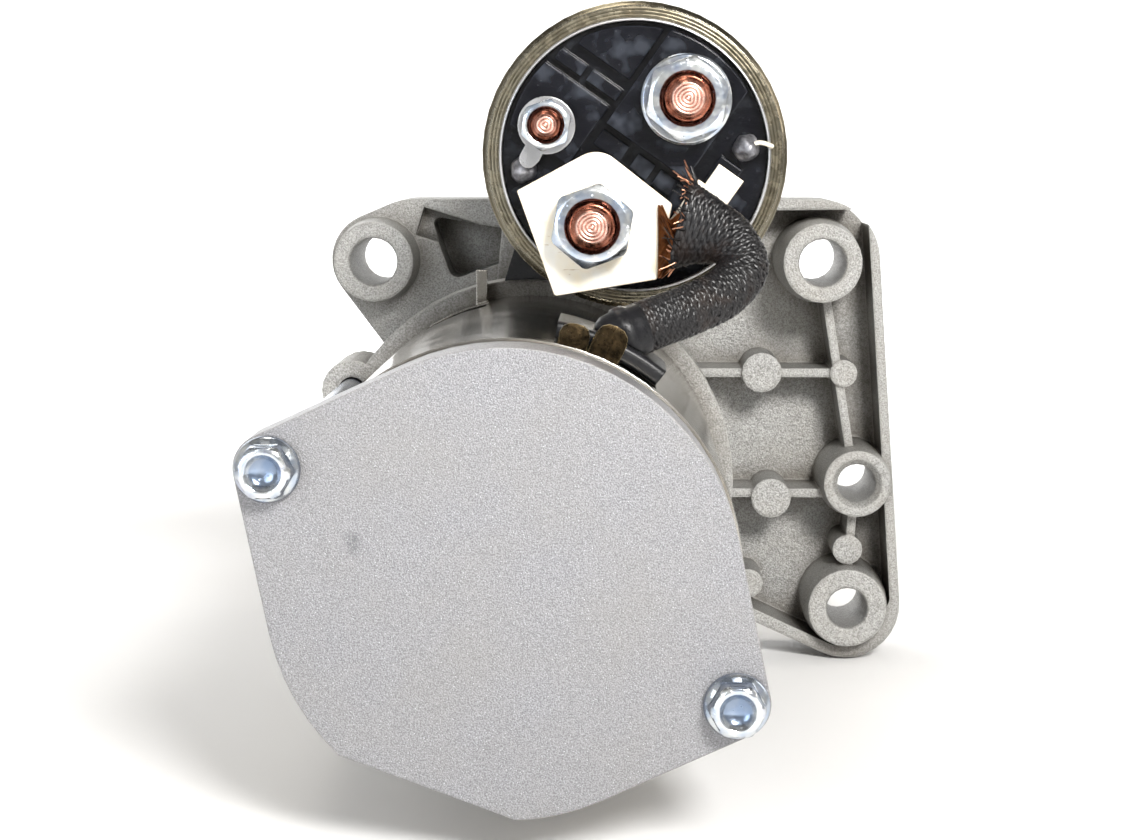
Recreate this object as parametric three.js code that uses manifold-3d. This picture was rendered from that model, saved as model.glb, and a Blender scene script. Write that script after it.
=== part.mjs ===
// Gear-reduction starter motor. Millimetres, +Z up.
// The motor axis is the Y axis; y = 0 is the front mounting face of the flange and the
// pinion points along +Y. The solenoid lies above the motor, leaned towards +X.
import * as THREE from 'three';
import { mergeVertices } from 'three/addons/utils/BufferGeometryUtils.js';
import Module from 'manifold-3d';

const wasm = await Module();
wasm.setup();

// ---- driving dimensions -------------------------------------------------------------

const GAP = 0.3; // left between pieces that touch

// Stations along the motor axis, rear to front.
const COVER_REAR = -170;
const COVER_DEPTH = 11.5;
const YOKE_REAR = COVER_REAR + COVER_DEPTH + GAP;
const YOKE_FRONT = -58;
const HOUSING_REAR = YOKE_FRONT + GAP;
const PLATE_REAR = -37.5;
const PLATE_FRONT = -33.5;
const FLANGE_DEPTH = 20; // the rim and ribs rise this far behind the mounting face
const FLANGE_FLOOR = 6; // thickness of the web between the ribs
const NOSE_FRONT = 48.5;

// Motor.
const YOKE_OUTER = 38.2;
const YOKE_INNER = 33.6;
const COVER_RADIUS = 37.7;
const BOLT_CIRCLE = 41.15;
const BOLT_ANGLE = 153.1 * (Math.PI / 180);
const BOLT_RADIUS = 2.5;
const CORE_RADIUS = 26.6;
const CORE_SLOTS = 12;
const CORE_REAR = -126;
const CORE_FRONT = -76;
const MAGNETS = 6;
const BRUSHES = 4;
const JOURNAL = 4;

// Planetary reduction: sun on the armature, ring fixed in the housing.
const MODULE = 1.5;
const SUN_TEETH = 11;
const PLANET_TEETH = 13;
const RING_TEETH = SUN_TEETH + 2 * PLANET_TEETH;
const PLANETS = 3;
const CARRIER_RADIUS = (MODULE * (SUN_TEETH + PLANET_TEETH)) / 2;
const GEAR_REAR = -56;
const GEAR_FRONT = -44;
const PRESSURE_ANGLE = 25 * (Math.PI / 180);

// Drive: splined sleeve with overrunning clutch and pinion.
const SHAFT_RADIUS = 6;
const SPLINE_RADIUS = 7.2;
const SLEEVE_REAR = -32.8;
const COLLAR_RADIUS = 17;
const GROOVE_RADIUS = 12;
const CLUTCH_RADIUS = 23.5;
const CLUTCH_FRONT = -2;
const PINION_TEETH = 10;
const PINION_MODULE = 2.5;
const PINION_FRONT = 13.5;

// Shift lever, in the plane that holds both axes.
const LEAN = 17.2 * (Math.PI / 180); // of the solenoid axis from straight up
const AXIS_SPACING = 70; // motor axis to solenoid axis
const PIVOT_HEIGHT = 42; // of the lever pivot above the motor axis
const PIVOT_Y = -19.5;
const PRONG_TIP = 3.5; // radius of the lever's rounded tips
const SWING = 10.3 * (Math.PI / 180); // of the lever to each side of upright
const TOP_ARM = AXIS_SPACING - PIVOT_HEIGHT;
const EYE_HALF = 15.2; // half width of the lever at its pivot
const LEG_OUTER = 21.5; // half width of the lever where it straddles the sleeve
const GROOVE_Y = PIVOT_Y - PIVOT_HEIGHT * Math.sin(SWING);
const HOOK_Y = PIVOT_Y + TOP_ARM * Math.sin(SWING);

// Solenoid.
const CAN_FRONT = -44;
const CAN_REAR = -122;
const CAN_OUTER = 26.6;
const CAN_INNER = 24.8;
const CAN_LIP = 23.1; // radius of the opening inside the crimped lip
const CAP_FACE = -119.9;
const PLUNGER_RADIUS = 9.5;
const CAP_TURN = -35 * (Math.PI / 180); // of the cap's rectangular layout
const BATTERY_STUD = [1.7, 12.9]; // stud places in the cap's own layout
const MOTOR_STUD = [0.9, -13.9];
const SIGNAL_STUD = [-15.5, -4.5];
const SOLDER_BEADS = [[-14.5, -13.2], [15, 12.2]];
const M8 = 4;
const M8_FLATS = 13;
const M5_FLATS = 8;

// Flange bosses: [x, z, outer radius, hole radius, rear face, countersink].
const BOSSES = [
  [-35, 43.5, 8.6, 5.1, -30, 0.4],
  [61.8, 43.3, 8.5, 5.1, -30, 0.4],
  [70.4, -5.4, 7.3, 4.25, -25, 1.3],
  [68.7, -33.4, 8.6, 4.5, -24, 0.4],
];
// Round pads where the ribs cross: [x, z, radius].
const PADS = [
  [49.5, 18.7, 4.4],
  [67.5, 18.5, 3],
  [51.8, -9.3, 4.4],
  [68.9, -20.8, 3.3],
  [47, -28.5, 3.2],
];
const RIB = 1.9;

const CAST = { color: 0xb5b6b4, metalness: 0.6, roughness: 0.65 };
const STEEL = { color: 0x9a9da0, metalness: 0.9, roughness: 0.35 };
const ZINC = { color: 0xc9ced4, metalness: 0.9, roughness: 0.25 };
const OLIVE = { color: 0x7d7455, metalness: 0.8, roughness: 0.4 };
const PLASTIC = { color: 0x141417, metalness: 0, roughness: 0.3 };
const RUBBER = { color: 0x1a1a1c, metalness: 0, roughness: 0.8 };
const COPPER = { color: 0xb46a4a, metalness: 0.95, roughness: 0.3 };
const BRONZE = { color: 0x9c7440, metalness: 0.8, roughness: 0.5 };
const TIN = { color: 0xe6dcc0, metalness: 0.85, roughness: 0.25 };
const FERRITE = { color: 0x3a3a3d, metalness: 0.1, roughness: 0.8 };
const CARBON = { color: 0x5a4a42, metalness: 0.3, roughness: 0.8 };

// ---- solids -------------------------------------------------------------------------

function toSolid(geometry) {
  const bare = geometry.clone();
  bare.deleteAttribute('normal');
  bare.deleteAttribute('uv');
  const welded = mergeVertices(bare, 1e-4);
  const position = welded.attributes.position.array;
  const triangles = [];
  let volume = 0;
  for (let i = 0; i < welded.index.count; i += 3) {
    const [a, b, c] = welded.index.array.slice(i, i + 3);
    if (a === b || b === c || c === a) continue;
    triangles.push([a, b, c]);
    const [p, q, r] = [a, b, c].map((n) => new THREE.Vector3().fromArray(position, 3 * n));
    volume += p.dot(q.cross(r));
  }
  const outward = triangles.map(([a, b, c]) => (volume < 0 ? [a, c, b] : [a, b, c]));
  return new wasm.Manifold(new wasm.Mesh({
    numProp: 3,
    vertProperties: new Float32Array(position),
    triVerts: new Uint32Array(outward.flat()),
  }));
}

function toGeometry(solid) {
  const mesh = solid.getMesh();
  const geometry = new THREE.BufferGeometry();
  geometry.setAttribute('position', new THREE.BufferAttribute(mesh.vertProperties.slice(), 3));
  geometry.setIndex(new THREE.BufferAttribute(mesh.triVerts.slice(), 1));
  const flat = geometry.toNonIndexed();
  flat.computeVertexNormals();
  return flat;
}

const join = (...solids) => solids.reduce((whole, next) => whole.add(next));
const cut = (base, ...tools) => tools.reduce((whole, next) => whole.subtract(next), base);

// A closed profile of [radius, y] points turned about an axis parallel to Y.
function turned(profile, { segments = 32, x = 0, z = 0 } = {}) {
  const closed = [...profile, profile[0]].map(([radius, y]) => new THREE.Vector2(radius, y));
  return toSolid(new THREE.LatheGeometry(closed, segments).translate(x, 0, z));
}

const rod = (radius, y0, y1, options) =>
  turned([[0, y0], [radius, y0], [radius, y1], [0, y1]], options);

const tube = (inner, outer, y0, y1, options) =>
  turned([[inner, y0], [outer, y0], [outer, y1], [inner, y1]], options);

// A shape drawn in x and z, extruded from y0 to y1.
function prism(shape, y0, y1, curveSegments = 4) {
  const options = { depth: y1 - y0, bevelEnabled: false, curveSegments };
  const geometry = new THREE.ExtrudeGeometry(shape, options);
  return toSolid(geometry.rotateX(Math.PI / 2).translate(0, y1, 0));
}

function block([x0, x1], [y0, y1], [z0, z1]) {
  const geometry = new THREE.BoxGeometry(x1 - x0, y1 - y0, z1 - z0);
  return toSolid(geometry.translate((x0 + x1) / 2, (y0 + y1) / 2, (z0 + z1) / 2));
}

// A rod along X.
function crossRod(radius, [x0, x1], y, z, segments = 16) {
  const geometry = new THREE.CylinderGeometry(radius, radius, x1 - x0, segments);
  return toSolid(geometry.rotateZ(Math.PI / 2).translate((x0 + x1) / 2, y, z));
}

// A hexagonal prism with its corners chamfered at the rear end.
function hexagon(flats, y0, y1, turn = 0) {
  const corner = flats / Math.sqrt(3);
  const bar = new THREE.CylinderGeometry(corner, corner, y1 - y0, 6);
  const middle = (y0 + y1) / 2;
  const cone = turned([
    [0, y0], [0.96 * (flats / 2), y0], [corner + 0.1, y0 + 1.1], [corner + 0.1, y1], [0, y1],
  ], { segments: 18 });
  return toSolid(bar.rotateY(turn).translate(0, middle, 0)).intersect(cone);
}

// A convex outline through round corners [x, z, radius], listed anticlockwise.
function rounded(corners, Kind = THREE.Shape) {
  const outline = new Kind();
  const leaving = corners.map(([x, z, r], i) => {
    const [nextX, nextZ, nextR] = corners[(i + 1) % corners.length];
    const across = Math.hypot(nextX - x, nextZ - z);
    return Math.atan2(nextZ - z, nextX - x) - Math.acos((r - nextR) / across);
  });
  corners.forEach(([x, z, r], i) => {
    const start = leaving[(i + corners.length - 1) % corners.length];
    outline.absarc(x, z, r, start, leaving[i], false);
  });
  return outline.closePath();
}

function circle(radius, Kind = THREE.Shape) {
  return new Kind().absarc(0, 0, radius, 0, 2 * Math.PI, false);
}

function polygon(points, Kind = THREE.Shape) {
  return new Kind().setFromPoints(points.map(([x, z]) => new THREE.Vector2(x, z)));
}

// Part of a ring between two angles measured from +X towards +Z.
function sector(inner, outer, start, end) {
  const shape = new THREE.Shape().absarc(0, 0, outer, start, end, false);
  return shape.absarc(0, 0, inner, end, start, true).closePath();
}

// Turns a solid about the motor axis, from +Z towards +X.
const turnedBy = (solid, angle) => toSolid(toGeometry(solid).rotateY(angle));

const moved = (solid, x, y, z) => toSolid(toGeometry(solid).translate(x, y, z));

// From the lever's upright plane to the real place of the solenoid and lever.
const leaned = (solid) => turnedBy(solid, LEAN);

// A place [u, v] in the solenoid cap's own layout, as [x, z].
function onCap([u, v]) {
  const x = u * Math.cos(CAP_TURN) - v * Math.sin(CAP_TURN);
  const z = u * Math.sin(CAP_TURN) + v * Math.cos(CAP_TURN);
  return [x + AXIS_SPACING * Math.sin(LEAN), z + AXIS_SPACING * Math.cos(LEAN)];
}

// A rectangle of the cap's layout, standing from y0 to y1.
function capBlock([u0, u1], [v0, v1], y0, y1) {
  return prism(polygon([[u0, v0], [u1, v0], [u1, v1], [u0, v1]].map(onCap)), y0, y1);
}

// A coil of round wire along Y.
function coilSpring(radius, wire, y0, y1, turns) {
  class Helix extends THREE.Curve {
    getPoint(t, target = new THREE.Vector3()) {
      const angle = 2 * Math.PI * turns * t;
      return target.set(radius * Math.cos(angle), y0 + (y1 - y0) * t, radius * Math.sin(angle));
    }
  }
  const section = new THREE.Shape().absarc(0, 0, wire, 0, 2 * Math.PI, false);
  const steps = 7 * turns;
  return toSolid(new THREE.ExtrudeGeometry(section, { extrudePath: new Helix(), steps, curveSegments: 2 }));
}

// ---- gears --------------------------------------------------------------------------

const involute = (angle) => Math.tan(angle) - angle;

// Outline of an involute gear, one tooth centred at angle `phase`. `thicken` widens each
// tooth at the pitch line; an internal gear's opening is the same outline, thickened.
function gearOutline(teeth, module, { root, tip, thicken = -0.1, phase = 0 }, Kind = THREE.Shape) {
  const pitch = (module * teeth) / 2;
  const base = pitch * Math.cos(PRESSURE_ANGLE);
  const halfAtBase = (Math.PI * module / 2 + thicken) / (2 * pitch) + involute(PRESSURE_ANGLE);
  const halfAngle = (r) => halfAtBase - (r > base ? involute(Math.acos(base / r)) : 0);
  const radii = [root, Math.max(root, base), tip];
  const flank = radii.filter((r, i) => i === 0 || r > radii[i - 1] + 0.01);
  const points = [];
  for (let tooth = 0; tooth < teeth; tooth += 1) {
    const centre = phase + (2 * Math.PI * tooth) / teeth;
    const at = (r, angle) => [r * Math.cos(angle), r * Math.sin(angle)];
    points.push(...flank.map((r) => at(r, centre - halfAngle(r))));
    points.push(...flank.toReversed().map((r) => at(r, centre + halfAngle(r))));
  }
  return polygon(points, Kind);
}

function splineOutline(radius, root, widen, Kind = THREE.Shape) {
  const points = [];
  const half = 0.26 + widen / radius;
  for (let i = 0; i < 6; i += 1) {
    const centre = (i * Math.PI) / 3;
    for (const [r, angle] of [[root, -half - 0.05], [radius, -half], [radius, half], [root, half + 0.05]]) {
      points.push([r * Math.cos(centre + angle), r * Math.sin(centre + angle)]);
    }
  }
  return polygon(points, Kind);
}

// Angle of planet `i` around the motor axis, and the turn that meshes it with the sun.
const planetAngle = (i) => (2 * Math.PI * i) / PLANETS + Math.PI / 2;
const planetPhase = (i) =>
  planetAngle(i) * (1 + SUN_TEETH / PLANET_TEETH) + Math.PI - Math.PI / PLANET_TEETH;
const planetPlace = (i) =>
  [CARRIER_RADIUS * Math.cos(planetAngle(i)), CARRIER_RADIUS * Math.sin(planetAngle(i))];

// ---- motor --------------------------------------------------------------------------

const boltPlaces = [0, 1].map((i) => {
  const angle = BOLT_ANGLE + i * Math.PI;
  return [BOLT_CIRCLE * Math.cos(angle), BOLT_CIRCLE * Math.sin(angle)];
});

function rearCover() {
  const [earA, earB] = boltPlaces.map(([x, z]) => [x, z, 5.5]);
  const body = [0, 0, COVER_RADIUS];
  const front = COVER_REAR + COVER_DEPTH;
  const plate = prism(rounded([earB, body, earA, body]), COVER_REAR, front, 9);
  const trim = block([-30, 30], [COVER_REAR - 1, front + 1], [-60, -34.6]);
  const inside = rod(YOKE_INNER + 0.6, COVER_REAR + 3, front + 1);
  const hub = rod(9, COVER_REAR + 2, front - 1, { segments: 20 });
  const bushSeat = rod(6.3, COVER_REAR + 4.7, front, { segments: 20 });
  const boltHoles = boltPlaces.map(([x, z]) =>
    rod(BOLT_RADIUS + 0.3, COVER_REAR - 1, front + 1, { x, z, segments: 16 }));
  return cut(join(cut(plate, turnedBy(trim, 20.4 * (Math.PI / 180)), inside), hub), bushSeat, ...boltHoles);
}

function yoke() {
  const shell = tube(YOKE_INNER, YOKE_OUTER, YOKE_REAR, YOKE_FRONT, { segments: 60 });
  const slot = block([-20, -8], [-78, -66], [25, 45]);
  const leadWindow = block([12, 24], [YOKE_REAR + 3, YOKE_REAR + 10], [24, 45]);
  const locatingTongue = block([-10.8, -8.6], [YOKE_FRONT - 4, YOKE_FRONT], [35, 43.5]);
  return join(cut(shell, slot, leadWindow), locatingTongue);
}

function magnet(i) {
  const start = (2 * Math.PI * i) / MAGNETS + 0.12;
  const end = (2 * Math.PI * (i + 1)) / MAGNETS - 0.12;
  return prism(sector(CORE_RADIUS + 0.6, YOKE_INNER - GAP, start, end), -132, -70);
}

// A round disc with `slots` open slots cut into its rim, as an outline.
function slottedDisc(radius, slots, width, depth) {
  const points = [];
  const half = width / 2;
  for (let i = 0; i < slots; i += 1) {
    const angle = (2 * Math.PI * i) / slots;
    const place = (r, across) =>
      [r * Math.cos(angle) - across * Math.sin(angle), r * Math.sin(angle) + across * Math.cos(angle)];
    const rim = Math.sqrt(radius * radius - half * half);
    points.push(place(rim, -half), place(radius - depth, -half));
    points.push(place(radius - depth, half), place(rim, half));
  }
  return polygon(points);
}

function bored(shape, radius) {
  shape.holes.push(circle(radius, THREE.Path));
  return shape;
}

const armatureCore = () =>
  prism(bored(slottedDisc(CORE_RADIUS, CORE_SLOTS, 2.6, 9), 7.4), CORE_REAR, CORE_FRONT, 9);

function armatureWindings() {
  const inner = CORE_RADIUS - 8.4;
  const outer = CORE_RADIUS - 0.8;
  const rear = tube(inner - 6, outer, CORE_REAR - 5, CORE_REAR - GAP, { segments: 24 });
  const front = tube(inner - 6, outer, CORE_FRONT + GAP, CORE_FRONT + 7, { segments: 24 });
  const bar = block([inner, outer], [CORE_REAR - 1, CORE_FRONT + 1], [-0.9, 0.9]);
  const bars = Array.from({ length: CORE_SLOTS }, (_, i) =>
    turnedBy(bar, (2 * Math.PI * i) / CORE_SLOTS));
  return join(rear, front, ...bars);
}

const commutator = () =>
  prism(bored(slottedDisc(15, CORE_SLOTS, 0.8, 1.2), 7.4), -150, -133, 9);

function armatureShaft() {
  const shaft = turned([
    [0, -165], [JOURNAL, -165], [JOURNAL, -152], [7, -151], [7, -60],
    [6, -58], [6, GEAR_REAR], [JOURNAL, GEAR_FRONT], [JOURNAL, PLATE_REAR + 3], [0, PLATE_REAR + 3],
  ], { segments: 20 });
  const teeth = prism(gearOutline(SUN_TEETH, MODULE, { root: 6.4, tip: 9.45 }), GEAR_REAR, GEAR_FRONT);
  return join(shaft, teeth);
}

function brushHolder() {
  const plate = tube(17, YOKE_INNER - 0.6, -155, -152.5);
  const box = cut(
    block([17.5, 28.5], [-153, -136.5], [-5.6, 5.6]),
    block([14, 27], [-152.2, -135], [-3.9, 3.9]),
  );
  const boxes = Array.from({ length: BRUSHES }, (_, i) => turnedBy(box, brushAngle(i)));
  return join(plate, ...boxes);
}

const brushAngle = (i) => Math.PI / 4 + (2 * Math.PI * i) / BRUSHES;

const brush = (i) =>
  turnedBy(block([15 + GAP, 26], [-151.9, -138], [-3.6, 3.6]), brushAngle(i));

function throughBolt([x, z]) {
  const seat = COVER_REAR - GAP;
  const head = hexagon(M5_FLATS, seat - 5.2, seat - 1);
  const dish = turned([
    [0, seat - 6], [2.8, seat - 6], [2.3, seat - 4.4], [0, seat - 4.1],
  ], { segments: 20 });
  const flange = turned([
    [0, seat - 1.6], [4.2, seat - 1.6], [5.3, seat - 0.9], [5.3, seat], [0, seat],
  ], { segments: 28 });
  const shank = rod(BOLT_RADIUS, seat - 1, -45, { segments: 14 });
  return moved(join(cut(head, dish), flange, shank), x, 0, z);
}

// ---- reduction gear and drive -------------------------------------------------------

function ringGear() {
  const shape = circle(35);
  const spacePhase = planetAngle(0)
    + (PLANET_TEETH / RING_TEETH) * (planetPhase(0) - planetAngle(0));
  const opening = { root: 26.55, tip: 29.5, thicken: 0.1, phase: spacePhase };
  shape.holes.push(gearOutline(RING_TEETH, MODULE, opening, THREE.Path));
  return prism(shape, GEAR_REAR - 1, GEAR_FRONT + 1, 18);
}

function planetGear(i) {
  const [x, z] = planetPlace(i);
  const shape = gearOutline(PLANET_TEETH, MODULE, { root: 8, tip: 10.95, phase: planetPhase(i) });
  return moved(prism(bored(shape, 3.3), GEAR_REAR, GEAR_FRONT, 8), x, 0, z);
}

function outputShaft() {
  const disc = rod(24, GEAR_FRONT + 0.6, PLATE_REAR - 0.6, { segments: 24 });
  const bar = rod(SHAFT_RADIUS, GEAR_FRONT + 0.6, 45.5, { segments: 20 });
  const splines = prism(splineOutline(SPLINE_RADIUS, SHAFT_RADIUS - 0.3, 0), -32.5, -5);
  const pins = Array.from({ length: PLANETS }, (_, i) => {
    const [x, z] = planetPlace(i);
    return rod(3, GEAR_REAR + 0.5, GEAR_FRONT + 1, { x, z, segments: 14 });
  });
  const pilot = rod(JOURNAL + 0.3, GEAR_FRONT, PLATE_REAR + 3.4, { segments: 24 });
  const ringGroove = tube(5.2, 8, 34.4, 35.7, { segments: 24 });
  return cut(join(disc, bar, splines, ...pins), pilot, ringGroove);
}

function bearingPlate() {
  return tube(SHAFT_RADIUS + 0.3, 35, PLATE_REAR, PLATE_FRONT);
}

// The sleeve rides the shaft's splines; its rear collar holds the lever, and its
// front end is the outer half of the overrunning clutch.
function clutchSleeve() {
  const wall = PRONG_TIP + 0.3;
  const outside = turned([
    [4, SLEEVE_REAR], [COLLAR_RADIUS, SLEEVE_REAR], [COLLAR_RADIUS, GROOVE_Y - wall],
    [GROOVE_RADIUS, GROOVE_Y - wall], [GROOVE_RADIUS, GROOVE_Y + wall],
    [COLLAR_RADIUS, GROOVE_Y + wall], [COLLAR_RADIUS, GROOVE_Y + wall + 2],
    [GROOVE_RADIUS, GROOVE_Y + wall + 2], [GROOVE_RADIUS + 1, -18.5], [CLUTCH_RADIUS - 1, -18.5],
    [CLUTCH_RADIUS, -17.5], [CLUTCH_RADIUS, CLUTCH_FRONT], [19, CLUTCH_FRONT],
    [19, -14], [4, -14],
  ], { segments: 26 });
  const splinedBore = splineOutline(SPLINE_RADIUS + 0.3, SHAFT_RADIUS + 0.2, 0.3);
  return cut(outside, prism(splinedBore, SLEEVE_REAR - 1, -13));
}

function pinion() {
  const gear = prism(gearOutline(PINION_TEETH, PINION_MODULE, { root: 9.6, tip: 15 }), 0, PINION_FRONT);
  const chamfer = turned([
    [0, -1], [16, -1], [16, PINION_FRONT - 2], [12.5, PINION_FRONT], [0, PINION_FRONT],
  ], { segments: 20 });
  const race = rod(13.5, -13.6, 0.5, { segments: 24 });
  const bore = turned([
    [0, -15], [SPLINE_RADIUS + 0.4, -15], [SPLINE_RADIUS + 0.4, -2],
    [SHAFT_RADIUS + 0.3, -1], [SHAFT_RADIUS + 0.3, 15], [0, 15],
  ], { segments: 20 });
  return cut(join(gear.intersect(chamfer), race), bore);
}

const stopCollar = () => turned([
  [SHAFT_RADIUS + 0.3, 30], [9, 30], [9, 34], [SHAFT_RADIUS + 0.3, 34],
], { segments: 24 });

const snapRing = () => tube(5.5, 8, 34.7, 35.4, { segments: 20 });

// ---- lever --------------------------------------------------------------------------

// Drawn upright, then swung to rest about the pivot. The legs spread below the eye to
// pass either side of the sleeve's collar.
function shiftFork() {
  const eye = crossRod(5.5, [-EYE_HALF, EYE_HALF], 0, 0);
  const legs = [-1, 1].flatMap((side) => {
    const leg = polygon([
      [LEG_OUTER - 3.8, -PIVOT_HEIGHT], [LEG_OUTER, -PIVOT_HEIGHT], [LEG_OUTER, -18], [EYE_HALF, -7],
      [EYE_HALF, 0], [EYE_HALF - 3.8, 0], [EYE_HALF - 3.8, -9], [LEG_OUTER - 3.8, -22],
    ].map(([x, z]) => [side * x, z]));
    const padSpan = side < 0 ? [-LEG_OUTER, -13] : [13, LEG_OUTER];
    const tipSpan = side < 0 ? [-8.5, -5] : [5, 8.5];
    return [
      prism(leg, -3, 3),
      crossRod(PRONG_TIP, padSpan, 0, -PIVOT_HEIGHT),
      block(tipSpan, [-2.6, 2.6], [0, TOP_ARM]),
      crossRod(PRONG_TIP, tipSpan, 0, TOP_ARM),
    ];
  });
  const bore = crossRod(3.3, [-30, 30], 0, 0);
  const fork = toGeometry(cut(join(eye, ...legs), bore)).rotateX(-SWING);
  return leaned(toSolid(fork.translate(0, PIVOT_Y, PIVOT_HEIGHT)));
}

const pivotPin = () => leaned(crossRod(3, [-18.5, 17.4], PIVOT_Y, PIVOT_HEIGHT));

// Rubber block that fills the gap between yoke and solenoid behind the lever.
function leverSeal() {
  const filler = block([-17, 15], [HOUSING_REAR - 6, CAN_FRONT - 1.5], [34, 52]);
  const motorSide = rod(41.8, -80, -30, { segments: 60 });
  const solenoidSide = rod(CAN_OUTER + GAP, -80, -30, { z: AXIS_SPACING });
  return leaned(cut(filler, motorSide, solenoidSide));
}

// ---- drive-end housing --------------------------------------------------------------

// Body, register and nose in one profile.
function housingBody() {
  return turned([
    [0, HOUSING_REAR], [41.5, HOUSING_REAR], [41.5, -47], [39, -41], [37, -8], [36, -3], [31, -3],
    [31, 6], [28.6, 6], [28.6, 17], [23, 33], [13, NOSE_FRONT], [0, NOSE_FRONT],
  ], { segments: 48 });
}

function flangePlate() {
  const outline = rounded([
    [-35, 43.5, 10.2], [-20, 8, 1], [24, -25, 1], [68.7, -33.4, 12],
    [61.8, 43.3, 13.4], [-27.5, 44.5, 12.2],
  ]);
  return prism(outline, -FLANGE_DEPTH, 0, 5);
}

// The wide hollow on the right and the small one beside the left boss.
function flangePockets() {
  const wide = rounded([
    [22, -21, 1], [66.3, -40.6, 2], [76, -32, 2.5], [70, 52, 2.5], [22, 52, 2],
  ]);
  const small = rounded([[-21.6, 51.2, 1.4], [-17.4, 41.8, 2.2], [-9, 44.5, 2], [-5, 48, 2]]);
  return [wide, small].map((shape) => prism(shape, -FLANGE_DEPTH - 1, -FLANGE_FLOOR, 2));
}

function flangeRibs() {
  const wall = [-FLANGE_DEPTH, -1];
  const upright = ([x0, z0], [x1, z1]) => prism(
    polygon([[x0 - RIB / 2, z0], [x1 - RIB / 2, z1], [x1 + RIB / 2, z1], [x0 + RIB / 2, z0]]),
    ...wall,
  );
  return [
    upright([68.7, -30], [70.4, -6]),
    upright([70, -4], [62.4, 42]),
    block([22, 68], wall, [18.6 - RIB / 2, 18.6 + RIB / 2]),
    block([22, 68], wall, [-8.2 - RIB / 2, -8.2 + RIB / 2]),
    ...PADS.map(([x, z, radius]) => rod(radius, -FLANGE_DEPTH - 0.6, -1, { x, z, segments: 16 })),
  ];
}

function flangeBosses() {
  return BOSSES.map(([x, z, outer, , rear]) => turned([
    [0, rear], [outer, rear], [outer + 0.9, -FLANGE_DEPTH + 2],
    [outer + 0.9, -1], [0, -1],
  ], { x, z, segments: 26 }));
}

function flangeHoles() {
  return BOSSES.map(([x, z, , hole, rear, countersink]) => turned([
    [0, rear - 1], [hole + countersink + 1, rear - 1], [hole, rear + countersink], [hole, 1], [0, 1],
  ], { x, z, segments: 20 }));
}

// The tower that carries the solenoid and hides the lever.
function leverTower() {
  const outline = rounded([[-13, 26, 4], [13, 26, 4], [0, AXIS_SPACING, 25.5]]);
  return leaned(prism(outline, CAN_FRONT + GAP, -3.5, 8));
}

function housingHollows() {
  const gearRoom = rod(35.4, HOUSING_REAR - 1, PLATE_FRONT + GAP, { segments: 36 });
  const driveRoom = rod(25.5, PLATE_FRONT, 15, { segments: 28 });
  const noseRoom = rod(17.3, 14, 36, { segments: 20 });
  const bushSeat = rod(8.5, 35, 46.3, { segments: 20 });
  const window = block([-16.8, 16.8], [15, 31], [-40, -3]);
  const leverOutline = [[22.2, 0], [22.2, 24], [15.9, 35], [15.9, 49]];
  const leverRoom = prism(polygon([
    ...leverOutline, ...leverOutline.map(([x, z]) => [-x, z]).reverse(),
  ]), PLATE_FRONT + 0.5, -6.5);
  const hookRoom = block([-10, 10], [PLATE_FRONT + 0.5, -6.5], [46, AXIS_SPACING]);
  const plungerRoom = rod(12, CAN_FRONT - 1, -6.5, { z: AXIS_SPACING, segments: 24 });
  const pinHole = crossRod(3.3, [-40, 17.8], PIVOT_Y, PIVOT_HEIGHT);
  const screwHoles = solenoidScrewPlaces.map(([x, z]) => join(
    rod(2.7, CAN_FRONT - 1, -30, { x, z, segments: 12 }),
    rod(5, -35.3, 0, { x, z, segments: 16 }),
  ));
  const leverHollows = [leverRoom, hookRoom, plungerRoom, pinHole, ...screwHoles].map(leaned);
  return [gearRoom, driveRoom, noseRoom, bushSeat, window, ...leverHollows];
}

const solenoidScrewPlaces = [[-17.5, AXIS_SPACING + 9], [17.5, AXIS_SPACING + 9]];

function driveEndHousing() {
  const lugs = boltPlaces.map(([x, z]) => rod(6.2, HOUSING_REAR, -36, { x, z, segments: 20 }));
  const boltHoles = boltPlaces.map(([x, z]) =>
    rod(BOLT_RADIUS + 0.3, HOUSING_REAR - 1, -43, { x, z, segments: 16 }));
  const flange = join(cut(flangePlate(), ...flangePockets()), ...flangeRibs(), ...flangeBosses());
  const casting = join(housingBody(), flange, leverTower(), ...lugs);
  return cut(casting, ...housingHollows(), ...boltHoles, ...flangeHoles());
}

// ---- solenoid (drawn on the upright axis, then leaned) ------------------------------

const onSolenoid = { z: AXIS_SPACING, segments: 48 };
const inSolenoid = { z: AXIS_SPACING, segments: 24 };

function solenoidCan() {
  const shell = turned([
    [PLUNGER_RADIUS + 0.5, CAN_FRONT], [CAN_OUTER, CAN_FRONT],
    [CAN_OUTER, CAN_REAR + 1], [CAN_OUTER - 0.9, CAN_REAR], [CAN_LIP + 0.6, CAN_REAR],
    [CAN_LIP, CAN_REAR + 0.6], [CAN_LIP, CAN_REAR + 1.8], [CAN_INNER, CAN_REAR + 1.8],
    [CAN_INNER, CAN_FRONT - 6], [PLUNGER_RADIUS + 0.5, CAN_FRONT - 6],
  ], onSolenoid);
  const screwHoles = solenoidScrewPlaces.map(([x, z]) =>
    rod(2.6, CAN_FRONT - 5, CAN_FRONT + 1, { x, z, segments: 20 }));
  return leaned(cut(shell, ...screwHoles));
}

function solenoidScrew([x, z]) {
  const head = hexagon(7, -35, -31, 0);
  const socketed = join(head, rod(2.3, CAN_FRONT - 4.5, -34, { segments: 20 }));
  return leaned(moved(socketed, x, 0, z));
}

const solenoidCoil = () =>
  leaned(tube(PLUNGER_RADIUS + 0.8, CAN_INNER - 0.4, -96, CAN_FRONT - 6.5, inSolenoid));

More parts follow.
